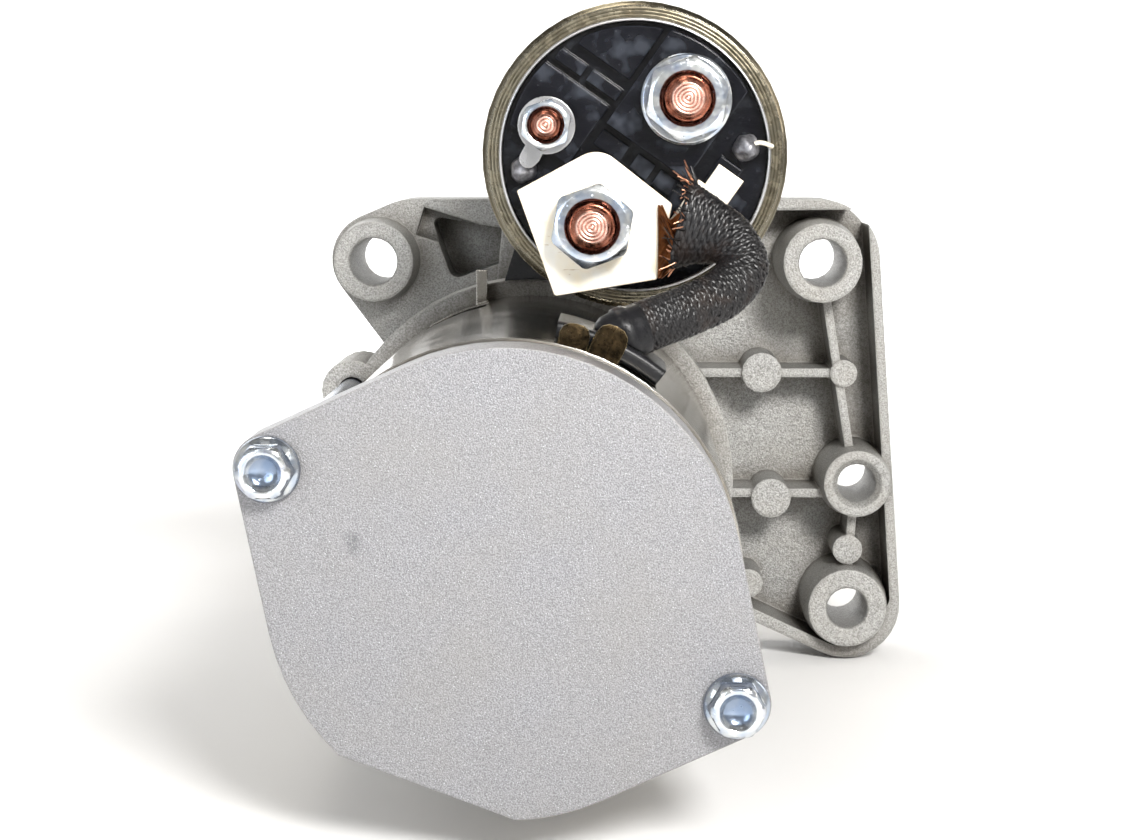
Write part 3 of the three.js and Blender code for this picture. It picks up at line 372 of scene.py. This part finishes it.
# The finish of each record slot; a few nodes differ from their slot's usual finish.
BY_SLOT = {
    "cast_aluminium": "cast_aluminium", "bronze": "bronze", "plated_steel": "polished_steel",
    "moulded_plastic": "nylon", "zinc_plate": "bright_zinc", "steel": "machined_steel",
    "copper": "copper", "rubber": "rubber", "olive_plate": "passivated_steel",
    "phenolic": "gloss_moulding", "tin_plate": "bright_tin", "solder": "dull_solder",
    "braid": "braid_yarn", "ferrite": "ferrite", "carbon": "carbon",
}
BY_NODE = {"rear_cover": "blasted_aluminium", "signal_lug": "machined_steel"}


# ---- CAD nodes ----------------------------------------------------------------------

def smoothing_group(angle):
    """A node group that welds the CAD's triangles and shades them smooth up to that angle."""
    tree = bpy.data.node_groups.new("weld_and_smooth", "GeometryNodeTree")
    tree.interface.new_socket("Geometry", in_out="INPUT", socket_type="NodeSocketGeometry")
    tree.interface.new_socket("Geometry", in_out="OUTPUT", socket_type="NodeSocketGeometry")
    start = tree.nodes.new("NodeGroupInput")
    weld = tree.nodes.new("GeometryNodeMergeByDistance")
    weld.inputs["Distance"].default_value = 0.002 * MM
    smooth = tree.nodes.new("GeometryNodeSetShadeSmooth")
    edge_angle = tree.nodes.new("GeometryNodeInputMeshEdgeAngle")
    sharp = tree.nodes.new("FunctionNodeCompare")
    sharp.inputs["B"].default_value = angle
    crease = tree.nodes.new("GeometryNodeSetShadeSmooth")
    crease.domain = "EDGE"
    crease.inputs["Shade Smooth"].default_value = False
    end = tree.nodes.new("NodeGroupOutput")
    for source, target in (
        (start.outputs[0], weld.inputs[0]),
        (weld.outputs[0], smooth.inputs[0]),
        (smooth.outputs[0], crease.inputs[0]),
        (edge_angle.outputs[0], sharp.inputs["A"]),
        (sharp.outputs[0], crease.inputs["Selection"]),
        (crease.outputs[0], end.inputs[0]),
    ):
        tree.links.new(source, target)
    return tree


def dress_cad_nodes():
    group = smoothing_group(math.radians(32))
    for name, node in nodes.items():
        slot = node.data.materials[0].name
        node.data.materials.clear()
        node.data.materials.append(FINISHES[BY_NODE.get(name, BY_SLOT[slot])])
        if "custom_normal" in node.data.attributes:
            node.data.attributes.remove(node.data.attributes["custom_normal"])
        node.modifiers.new("weld_and_smooth", "NODES").node_group = group


# ---- shape helpers ------------------------------------------------------------------

def make_piece(name, points, faces, finish, body="starter_body", sharp=35):
    """A mesh piece that rides on a body, shaded smooth up to that many degrees."""
    mesh = bpy.data.meshes.new(name)
    mesh.from_pydata([tuple(p) for p in points], [], faces)
    mesh.validate()
    mesh.shade_smooth()
    mesh.set_sharp_from_angle(angle=math.radians(sharp))
    mesh.materials.append(finish if isinstance(finish, bpy.types.Material) else FINISHES[finish])
    piece = bpy.data.objects.new(name, mesh)
    bpy.context.scene.collection.objects.link(piece)
    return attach(piece, body)


def skin(rings, looped=False):
    """Faces that join rings of as many points each: capped at both ends, or looped end to start."""
    steps = len(rings[0])
    points = [p for ring in rings for p in ring]
    faces = []
    count = len(rings)
    for i in range(count if looped else count - 1):
        a, b = i * steps, ((i + 1) % count) * steps
        faces += [(a + k, a + (k + 1) % steps, b + (k + 1) % steps, b + k) for k in range(steps)]
    if not looped:
        faces.append(tuple(range(steps - 1, -1, -1)))
        faces.append(tuple(range((count - 1) * steps, count * steps)))
    return points, faces


def turned_rings(profile, centre, steps, turn=0.0):
    """Rings round an axis along Y. A profile entry is (radius, y), and radius may depend on the angle."""
    rings = []
    for radius, y in profile:
        ring = []
        for k in range(steps):
            angle = turn + 2 * math.pi * k / steps
            r = radius(angle - turn, y) if callable(radius) else radius
            ring.append(Vector((centre.x + r * math.cos(angle), y, centre.z + r * math.sin(angle))))
        rings.append(ring)
    return rings


def merged(parts):
    """Several (points, faces) as one."""
    points, faces = [], []
    for more_points, more_faces in parts:
        offset = len(points)
        points += more_points
        faces += [tuple(offset + i for i in face) for face in more_faces]
    return points, faces


def smooth_path(anchors, count):
    """Evenly numbered points on a Catmull-Rom curve through the anchors."""
    padded = [2 * anchors[0] - anchors[1], *anchors, 2 * anchors[-1] - anchors[-2]]
    spans = len(anchors) - 1
    path = []
    for i in range(count):
        at = spans * i / (count - 1)
        k = min(int(at), spans - 1)
        t = at - k
        a, b, c, d = padded[k:k + 4]
        path.append(0.5 * ((2 * b) + (c - a) * t + (2 * a - 5 * b + 4 * c - d) * t ** 2
                           + (3 * b - a - 3 * c + d) * t ** 3))
    return path


def upright_frames(path):
    """(tangent, normal, binormal) at each point, with the normal square to the Y axis."""
    frames = []
    for i in range(len(path)):
        tangent = (path[min(i + 1, len(path) - 1)] - path[max(i - 1, 0)]).normalized()
        normal = tangent.cross(Vector((0, 1, 0))).normalized()
        frames.append((tangent, normal, tangent.cross(normal)))
    return frames


def carried_frames(path):
    """(tangent, normal, binormal) at each point, turned as little as possible from one to the next."""
    frames = []
    normal = UP
    for i in range(len(path)):
        tangent = (path[min(i + 1, len(path) - 1)] - path[max(i - 1, 0)]).normalized()
        normal = (normal - tangent * normal.dot(tangent)).normalized()
        frames.append((tangent, normal, tangent.cross(normal)))
    return frames


def wire(path, radius, sides=6, flat=1.0):
    """A round or flattened wire along a path, as points and faces."""
    rings = []
    for i, (point, (_, normal, binormal)) in enumerate(zip(path, carried_frames(path))):
        r = radius(i / (len(path) - 1)) if callable(radius) else radius
        rings.append([
            point + normal * (r * flat * math.cos(2 * math.pi * k / sides))
            + binormal * (r * math.sin(2 * math.pi * k / sides))
            for k in range(sides)
        ])
    return skin(rings)


def within(node, share):
    """The point at those shares of a CAD node's box."""
    low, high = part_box(node)
    return Vector(l + s * (h - l) for l, h, s in zip(low, high, share))


# ---- fasteners ----------------------------------------------------------------------

def hexagon(flats, corner=0.972):
    """Radius of a hexagon with slightly rounded corners, as a function of the angle."""
    def radius(angle, _):
        off = math.remainder(angle, math.pi / 3)
        edge = flats / 2 / math.cos(math.pi / 6 - abs(off))
        return min(edge, corner * flats / math.sqrt(3))
    return radius


def cone_cut(flats, limit):
    """A hexagon's radius, never over the limit."""
    plain = hexagon(flats)
    return lambda angle, y: min(plain(angle, y), limit)


def through_bolt(node):
    """Flanged hex head with a dished crown, on its long shank."""
    low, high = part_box(node)
    centre = (low + high) / 2
    crown, flats, shank = low.y, 8 * MM, 2.5 * MM
    seat = crown + 5.2 * MM
    dish = [
        (0.5 * MM, crown + 1.3 * MM), (1.7 * MM, crown + 1.15 * MM), (2.3 * MM, crown + 0.8 * MM),
        (2.7 * MM, crown + 0.3 * MM), (2.95 * MM, crown + 0.05 * MM), (3.3 * MM, crown),
    ]
    head = [
        (cone_cut(flats, 3.85 * MM), crown + 0.12 * MM), (cone_cut(flats, 4.3 * MM), crown + 0.5 * MM),
        (hexagon(flats), crown + 0.85 * MM), (hexagon(flats), seat - 1.95 * MM),
        (hexagon(flats * 1.03), seat - 1.75 * MM),
    ]
    flange = [
        (4.75 * MM, seat - 1.5 * MM), (5.05 * MM, seat - 1.25 * MM), (5.25 * MM, seat - 0.85 * MM),
        (5.3 * MM, seat - 0.4 * MM), (5.15 * MM, seat - 0.05 * MM), (4.9 * MM, seat),
    ]
    stem = [(shank, seat), (shank, high.y - 0.6 * MM), (shank - 0.6 * MM, high.y)]
    profile = dish + head + flange + stem
    zinc = bright_zinc(f"{node}_zinc", dish=(centre, 2.6 * MM))
    piece = make_piece(f"{node}_detail", *skin(turned_rings(profile, centre, 96)), zinc)
    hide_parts(node)


def hex_nut(node, stud, flats, bore, turn, washer=None):
    """Chamfered nut round a stud, with its round washer, of that radius, when it has one."""
    low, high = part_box(node)
    stud_low, stud_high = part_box(stud)
    centre = (stud_low + stud_high) / 2
    top, foot = low.y, high.y
    ramp = math.tan(math.radians(28))
    face = 0.47 * flats
    outer = hexagon(flats)
    steps = 96
    seat = foot - (1.5 * MM if washer else 0)
    mouth = [
        (bore, seat), (bore, top + 0.75 * MM), (bore + 0.5 * MM, top + 0.1 * MM),
        (bore + 0.65 * MM, top), (face - 0.2 * MM, top), (face, top + 0.04 * MM),
    ]
    rings = turned_rings(mouth, centre, steps, turn)
    for y, side in ((top, 1), (seat, -1)):
        ring = []
        for k in range(steps):
            r = outer(2 * math.pi * k / steps, 0)
            at = y + side * max(0.0, r - face) * ramp
            angle = turn + 2 * math.pi * k / steps
            ring.append(Vector((centre.x + r * math.cos(angle), at, centre.z + r * math.sin(angle))))
        rings.append(ring)
    rings += turned_rings([(face, seat)], centre, steps, turn)
    parts = [skin(rings, looped=True)]
    if washer:
        edge = 0.25 * MM
        disc = [
            (bore, foot), (bore, seat + 0.02 * MM), (washer - 2 * edge, seat + 0.02 * MM),
            (washer - edge / 2, seat + edge), (washer, seat + 2 * edge), (washer, foot - edge),
            (washer - edge, foot),
        ]
        parts.append(skin(turned_rings(disc, centre, steps), looped=True))
    piece = make_piece(f"{node}_detail", *merged(parts), "bright_zinc", sharp=24)
    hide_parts(node)


def threaded_stud(node, radius, pitch):
    """Stud with a helical thread, a turned and chamfered end and its contact head."""
    low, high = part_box(node)
    centre = (low + high) / 2
    tip, head, head_radius = low.y, high.y - 1.6 * MM, (high.x - low.x) / 2
    depth = 0.58 * pitch
    chamfer_end = 0.64 * radius

    def thread(angle, y):
        turns = (y / pitch + angle / (2 * math.pi)) % 1.0
        crest = radius - depth * min(1.0, 2.4 * abs(turns - 0.5))
        return min(crest, chamfer_end + 0.95 * (y - tip))

    slices = int((head - tip) / (pitch / 8))
    profile = [(0.08 * radius, tip), (0.3 * radius, tip + 0.06 * MM), (0.6 * radius, tip + 0.05 * MM),
               (0.66 * radius, tip + 0.1 * MM)]
    profile += [(thread, tip + 0.2 * MM + (head - tip - 0.2 * MM) * i / slices) for i in range(slices)]
    profile += [(0.9 * radius, head), (head_radius, head), (head_radius, high.y)]
    copper = turned_copper(f"{node}_copper", node, radius)
    piece = make_piece(f"{node}_detail", *skin(turned_rings(profile, centre, 72)), copper)
    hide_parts(node)


# ---- motor lead ---------------------------------------------------------------------

# Points that the lead passes through, as shares of its CAD node's box, from the grommet on.
LEAD_ANCHORS = [
    (-0.124, 0.077, 0.079), (0.090, 0.149, 0.158), (0.305, 0.247, 0.233), (0.581, 0.451, 0.356),
    (0.738, 0.604, 0.554), (0.640, 0.715, 0.760), (0.440, 0.791, 0.850), (0.250, 0.830, 0.900),
]

# Half the sleeve's width and half its thickness.
LEAD_WIDE = 4.0 * MM
LEAD_THIN = 2.35 * MM


def wide_way(at):
    """The sleeve's larger radius, which flares towards its open mouth."""
    return LEAD_WIDE * (1 + 0.85 * max(0.0, (at - 0.68) / 0.32) ** 1.2)


def on_sleeve(path, frames, at, angle, lift):
    """A point on the flattened sleeve and its outward direction."""
    i = min(int(at * (len(path) - 1)), len(path) - 1)
    _, normal, binormal = frames[i]
    wide = wide_way(at)
    out = (normal * (math.cos(angle) / wide) + binormal * (math.sin(angle) / LEAD_THIN)).normalized()
    spot = path[i] + normal * (wide * math.cos(angle)) + binormal * (LEAD_THIN * math.sin(angle))
    return spot + out * lift, out


def braided_sleeve(path, frames):
    """Flat yarns wound both ways round the lead, each passing over and under those it crosses."""
    carriers, lays, stations = 16, 5.5, 180
    parts = []
    for way in (1, -1):
        for carrier in range(carriers):
            rings = []
            for s in range(stations):
                at = s / (stations - 1)
                angle = way * 2 * math.pi * lays * at + 2 * math.pi * carrier / carriers
                crossings = 2 * carriers * lays * at + way * carrier
                lift = 0.2 * MM * way * math.cos(math.pi * crossings / 2 + carrier * math.pi)
                spot, out = on_sleeve(path, frames, at, angle, lift)
                ahead, _ = on_sleeve(path, frames, min(1.0, at + 1.01 / (stations - 1)),
                                     angle + way * 2 * math.pi * lays / (stations - 1), 0)
                back, _ = on_sleeve(path, frames, max(0.0, at - 1.01 / (stations - 1)),
                                    angle - way * 2 * math.pi * lays / (stations - 1), 0)
                along = (ahead - back).normalized()
                across = out.cross(along).normalized()
                rings.append([spot + across * (0.42 * MM * math.cos(q)) + out * (0.18 * MM * math.sin(q))
                              for q in (2 * math.pi * k / 6 for k in range(6))])
            parts.append(skin(rings))
    return merged(parts)


def lead_core(path, frames):
    """The dark bundle that shows between the yarns."""
    rings = []
    for i, (point, (_, normal, binormal)) in enumerate(zip(path, frames)):
        wide = wide_way(i / (len(path) - 1))
        rings.append([
            point + normal * (0.9 * wide * math.cos(q)) + binormal * (0.9 * LEAD_THIN * math.sin(q))
            for q in (2 * math.pi * k / 24 for k in range(24))
        ])
    return skin(rings)


def frayed_yarns(path, frames, chance):
    """Loose yarn ends that stand away from the sleeve's mouth."""
    parts = []
    for k in range(26):
        angle = 2 * math.pi * k / 26
        start, out = on_sleeve(path, frames, 0.97, angle, 0.0)
        ahead = frames[-1][0]
        lean = ahead * chance.uniform(0.8, 2.6) + UP * chance.uniform(-0.4, 2.4)
        lean += out * chance.uniform(0.1, 0.9)
        middle = start + lean * 0.6 * MM + out * 0.3 * MM
        end = start + lean * chance.uniform(1.1, 1.9) * MM
        parts.append(wire(smooth_path([start, middle, end], 7), lambda t: (0.34 - 0.2 * t) * MM, 5, 0.6))
    return merged(parts)


def copper_strap(path, frames, chance):
    """Strands that leave the sleeve, flatten and meet the edge of the motor terminal's plate."""
    low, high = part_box("motor_plate")
    rows = 30
    parts = []
    for layer in range(2):
        for k in range(rows):
            share = (k + 0.5) / rows
            edge = Vector((high.x - (1.8 + 0.5 * layer) * MM, low.y - (0.3 + 0.45 * layer) * MM,
                           low.z + (high.z - low.z) * (0.12 + 0.52 * share)))
            mouth, _ = on_sleeve(path, frames, 0.95, math.pi * (0.15 + 1.7 * share) + layer, -0.9 * MM)
            stray = Vector((0, -chance.uniform(0.1, 0.5), chance.uniform(-0.3, 0.3))) * MM
            middle = edge.lerp(mouth, 0.5) + stray
            parts.append(wire(smooth_path([edge, middle, mouth], 9), 0.24 * MM, 5))
    return merged(parts)


def loose_strands(path, frames, chance):
    """Bright stray strands that poke out of the sleeve's mouth."""
    parts = []
    for _ in range(34):
        start, out = on_sleeve(path, frames, 0.95, chance.uniform(0, 2 * math.pi), -0.4 * MM)
        lean = frames[-1][0] * chance.uniform(0.6, 2.2) + UP * chance.uniform(-1.4, 2.2)
        lean += out * chance.uniform(0, 1)
        middle = start + lean * 0.8 * MM
        stray = Vector([chance.uniform(-0.8, 0.8) for axis in "xyz"])
        end = start + (lean + stray) * chance.uniform(1.0, 1.9) * MM
        parts.append(wire(smooth_path([start, middle, end], 8), 0.13 * MM, 5))
    return merged(parts)


def motor_lead():
    path = smooth_path([within("motor_lead", share) for share in LEAD_ANCHORS], 151)
    frames = upright_frames(path)
    chance = random.Random(7)
    sleeve = make_piece("motor_lead_sleeve", *braided_sleeve(path, frames), "braid_yarn", sharp=80)
    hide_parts("motor_lead")
    make_piece("motor_lead_core", *lead_core(path, frames), "braid_yarn", sharp=80)
    make_piece("motor_lead_fray", *frayed_yarns(path, frames, chance), "braid_yarn", sharp=80)
    make_piece("motor_lead_strap", *copper_strap(path, frames, chance), "burnt_copper", sharp=80)
    make_piece("motor_lead_strands", *loose_strands(path, frames, chance), "copper", sharp=80)
    lead_grommet(path[0], frames[0])


def rounded_section(r0, r1, y0, y1, corner):
    """A rectangle with round corners, as (r, y) points."""
    centres = [(r0 + corner, y0 + corner), (r1 - corner, y0 + corner),
               (r1 - corner, y1 - corner), (r0 + corner, y1 - corner)]
    return [(r + corner * math.cos(q), y + corner * math.sin(q))
            for k, (r, y) in enumerate(centres)
            for q in (math.pi * (1 + k / 2 + j / 8) for j in range(5))]


def lead_grommet(mouth, mouth_frame):
    """A curved rubber saddle on the yoke, with the round nozzle that the lead leaves by."""
    low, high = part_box("lead_grommet")
    yoke_low, yoke_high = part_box("yoke")
    inner = (yoke_high.x - yoke_low.x) / 2 + 0.2 * MM
    section = rounded_section(inner, inner + 3 * MM, low.y + 3 * MM, high.y, 0.9 * MM)
    start, stop = 1.37, 0.90
    arc = [start + (stop - start) * i / 28 for i in range(29)]
    saddle = [[Vector((r * math.cos(a), y, r * math.sin(a))) for r, y in section] for a in arc]
    tangent, normal, binormal = mouth_frame
    nozzle = []
    for back, size in ((6.5, 0.6), (6.0, 0.85), (5.0, 1.0), (3.2, 1.06), (3.0, 1.14), (1.4, 1.16),
                       (1.0, 1.1), (0.4, 1.06), (-1.0, 1.04), (-1.5, 0.98), (-1.6, 0.85)):
        centre = mouth - tangent * back * MM
        nozzle.append([centre + normal * (size * 1.02 * LEAD_WIDE * math.cos(q))
                       + binormal * (size * 1.35 * LEAD_THIN * math.sin(q))
                       for q in (2 * math.pi * k / 40 for k in range(40))])
    piece = make_piece("lead_grommet_detail", *merged([skin(saddle), skin(nozzle)]), "rubber", sharp=50)
    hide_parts("lead_grommet")


def grommet_tabs():
    """Two thin metal leaves that stand out of the grommet beside the lead."""
    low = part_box("lead_grommet")[0]
    yoke_low, yoke_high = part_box("yoke")
    yoke_radius = (yoke_high.x - yoke_low.x) / 2
    for number, (x, tilt, width, tall) in enumerate(((10.5, 0.20, 4.9, 4.3), (15.2, 0.46, 5.4, 6.0)), 1):
        angle = math.asin(x * MM / yoke_radius)
        foot = Vector((x * MM, low.y + 0.3 * MM, (yoke_radius - 0.6 * MM) * math.cos(angle)))
        outline = [(-0.5, 0.0), (0.5, 0.0), (0.5, 0.62), (0.42, 0.84), (0.24, 0.97), (0.0, 1.0),
                   (-0.24, 0.97), (-0.42, 0.84), (-0.5, 0.62)]
        turn = Matrix.Rotation(tilt, 3, "Y")
        rings = [[foot + turn @ (Vector((u * width * s, depth, v * tall * s)) * MM) for u, v in outline]
                 for depth, s in ((0.0, 0.93), (0.12, 1.0), (0.75, 1.0), (0.9, 0.93))]
        make_piece(f"grommet_tab_{number}", *skin(rings), "edge_worn_brass", sharp=30)


# ---- terminals ----------------------------------------------------------------------

def solder_lump(node, seed):
    """A rounded lump of solder that has slumped over the wire's end."""
    low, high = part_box(node)
    centre = (low + high) / 2
    radius = (high.x - low.x) / 2
    half_height = (high.y - low.y) / 2
    rings = []
    for i in range(1, 14):
        lat = math.pi * i / 14
        ring = []
        for k in range(24):
            angle = 2 * math.pi * k / 24
            out = Vector((math.sin(lat) * math.cos(angle), -math.cos(lat), math.sin(lat) * math.sin(angle)))
            swell = 1 + 0.2 * noise.noise(out * 1.4 + Vector((seed, 0, 0)))
            size = Vector((out.x * radius, out.y * half_height, out.z * radius))
            ring.append(centre + size * swell)
        rings.append(ring)
    piece = make_piece(f"{node}_detail", *skin(rings), "dull_solder", sharp=80)
    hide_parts(node)


def coil_end_wire():
    """The enamelled wire that leaves the upper solder bead for the rim."""
    bead_low, bead_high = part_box("solder_bead_2")
    start = (bead_low + bead_high) / 2 + Vector((0, -1.2 * MM, 0))
    axis = within("solenoid_can", (0.5, 0, 0.5))
    outward = Vector((start.x - axis.x, 0, start.z - axis.z)).normalized()
    rim = start + outward * 4.2 * MM
    path = smooth_path([start, start.lerp(rim, 0.5) + Vector((0, -0.8 * MM, 0.7 * MM)),
                        rim, rim + Vector((0.1, 1.4, -0.2)) * MM], 16)
    make_piece("coil_end_wire", *wire(path, 0.42 * MM, 8), "bright_tin", sharp=80)


def can_lip():
    """The bright rolled inner edge of the can's crimp, round the cap."""
    low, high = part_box("solenoid_can")
    centre = (low + high) / 2
    radius = (high.x - low.x) / 2 - 3.2 * MM
    tube = 0.28 * MM
    profile = [(radius + tube * math.cos(q), low.y + tube * math.sin(q))
               for q in (2 * math.pi * k / 10 for k in range(10))]
    ring = skin(turned_rings(profile, centre, 120), looped=True)
    make_piece("solenoid_can_lip", *ring, "machined_steel", sharp=80)


# ---- stage --------------------------------------------------------------------------

def pale_stage():
    """A wide pale bowl: flat under the motor, rising far away on every side."""
    f = Finish("pale_stage", Metallic=0.0)
    tone = f.blend(f.spread(f.grain(160 * MM, 2), 0.3, 0.7), (0.86, 0.86, 0.86, 1), (0.90, 0.90, 0.90, 1))
    finish = f.dress(tone, f.spread(f.grain(60 * MM), 0.3, 0.7, 0.75, 0.9), f.grain(3 * MM), 0.02 * MM)
    ground = cad_box[0].z - 0.4 * MM
    profile = [(0.01, 0.0), (1.4, 0.0)]
    rise = [math.pi / 2 * i / 12 for i in range(1, 13)]
    profile += [(1.4 + math.sin(a), 1.0 - math.cos(a)) for a in rise]
    profile.append((2.4, 2.6))
    around = [2 * math.pi * k / 72 for k in range(72)]
    rings = [[Vector((r * math.cos(q), r * math.sin(q), ground + z)) for q in around] for r, z in profile]
    points, faces = skin(rings)
    mesh = bpy.data.meshes.new("stage")
    mesh.from_pydata([tuple(p) for p in points], [], faces[:-1])
    mesh.shade_smooth()
    mesh.materials.append(finish)
    stage = bpy.data.objects.new("stage", mesh)
    bpy.context.scene.collection.objects.link(stage)


def soft_light(name, place, target, size, power, colour=(1, 1, 1)):
    lamp = bpy.data.lights.new(name, "AREA")
    lamp.shape = "RECTANGLE"
    lamp.size, lamp.size_y = size
    lamp.energy = power
    lamp.color = colour
    holder = bpy.data.objects.new(name, lamp)
    holder.location = place
    holder.rotation_euler = (Vector(target) - Vector(place)).to_track_quat("-Z", "Y").to_euler()
    bpy.context.scene.collection.objects.link(holder)


def lights():
    middle = (cad_box[0] + cad_box[1]) / 2
    soft_light("key", (0.22, -0.72, 0.36), middle, (0.16, 0.16), 7.5, (1.0, 0.985, 0.96))
    soft_light("front_fill", (-0.35, -0.75, 0.12), middle, (0.30, 0.30), 1.2, (0.92, 0.96, 1.0))
    soft_light("top", (-0.10, 0.02, 0.80), middle, (0.30, 0.20), 1.4, (1.0, 0.95, 0.86))
    soft_light("side", (0.75, 0.1, 0.35), middle, (0.3, 0.4), 1.2, (1.0, 0.93, 0.84))
    soft_light("back", (-0.45, 0.8, 0.45), middle, (0.6, 0.4), 1.8)
    soft_light("backdrop", (0.0, 0.55, 0.9), (0.0, 2.0, 0.3), (1.2, 0.6), 45.0)
    world = bpy.data.worlds.new("room")
    world.use_nodes = True
    world.node_tree.nodes["Background"].inputs["Color"].default_value = (1.0, 0.97, 0.93, 1)
    world.node_tree.nodes["Background"].inputs["Strength"].default_value = 0.28
    bpy.context.scene.world = world
    bpy.context.scene.view_settings.view_transform = "Standard"


def camera():
    """Behind the rear cover and above the motor's axis, tilted down a little."""
    eye = Vector((18.2, cad_box[0].y / MM - 344.5, 69.4)) * MM
    pitch, yaw = math.radians(-7.0), math.radians(1.26)
    lens = bpy.data.cameras.new("camera")
    lens.sensor_width = 36
    lens.lens = 71.8
    lens.clip_start, lens.clip_end = 0.01, 20
    holder = bpy.data.objects.new("camera", lens)
    holder.location = eye
    holder.rotation_euler = (math.pi / 2 + pitch, 0, yaw)
    bpy.context.scene.collection.objects.link(holder)
    bpy.context.scene.camera = holder


# ---- build --------------------------------------------------------------------------

dress_cad_nodes()
for bolt in ("through_bolt_1", "through_bolt_2"):
    through_bolt(bolt)
hex_nut("battery_nut", "battery_stud", 13 * MM, 4.1 * MM, 0.35, washer=7.9 * MM)
hex_nut("motor_nut", "motor_stud", 13 * MM, 4.1 * MM, 0.35)
hex_nut("signal_nut", "signal_stud", 8 * MM, 2.6 * MM, 0.35)
threaded_stud("battery_stud", 3.95 * MM, 1.25 * MM)
threaded_stud("motor_stud", 3.95 * MM, 1.25 * MM)
threaded_stud("signal_stud", 2.45 * MM, 0.8 * MM)
motor_lead()
grommet_tabs()
solder_lump("solder_bead_1", 1.0)
solder_lump("solder_bead_2", 5.0)
coil_end_wire()
can_lip()
pale_stage()
lights()
camera()
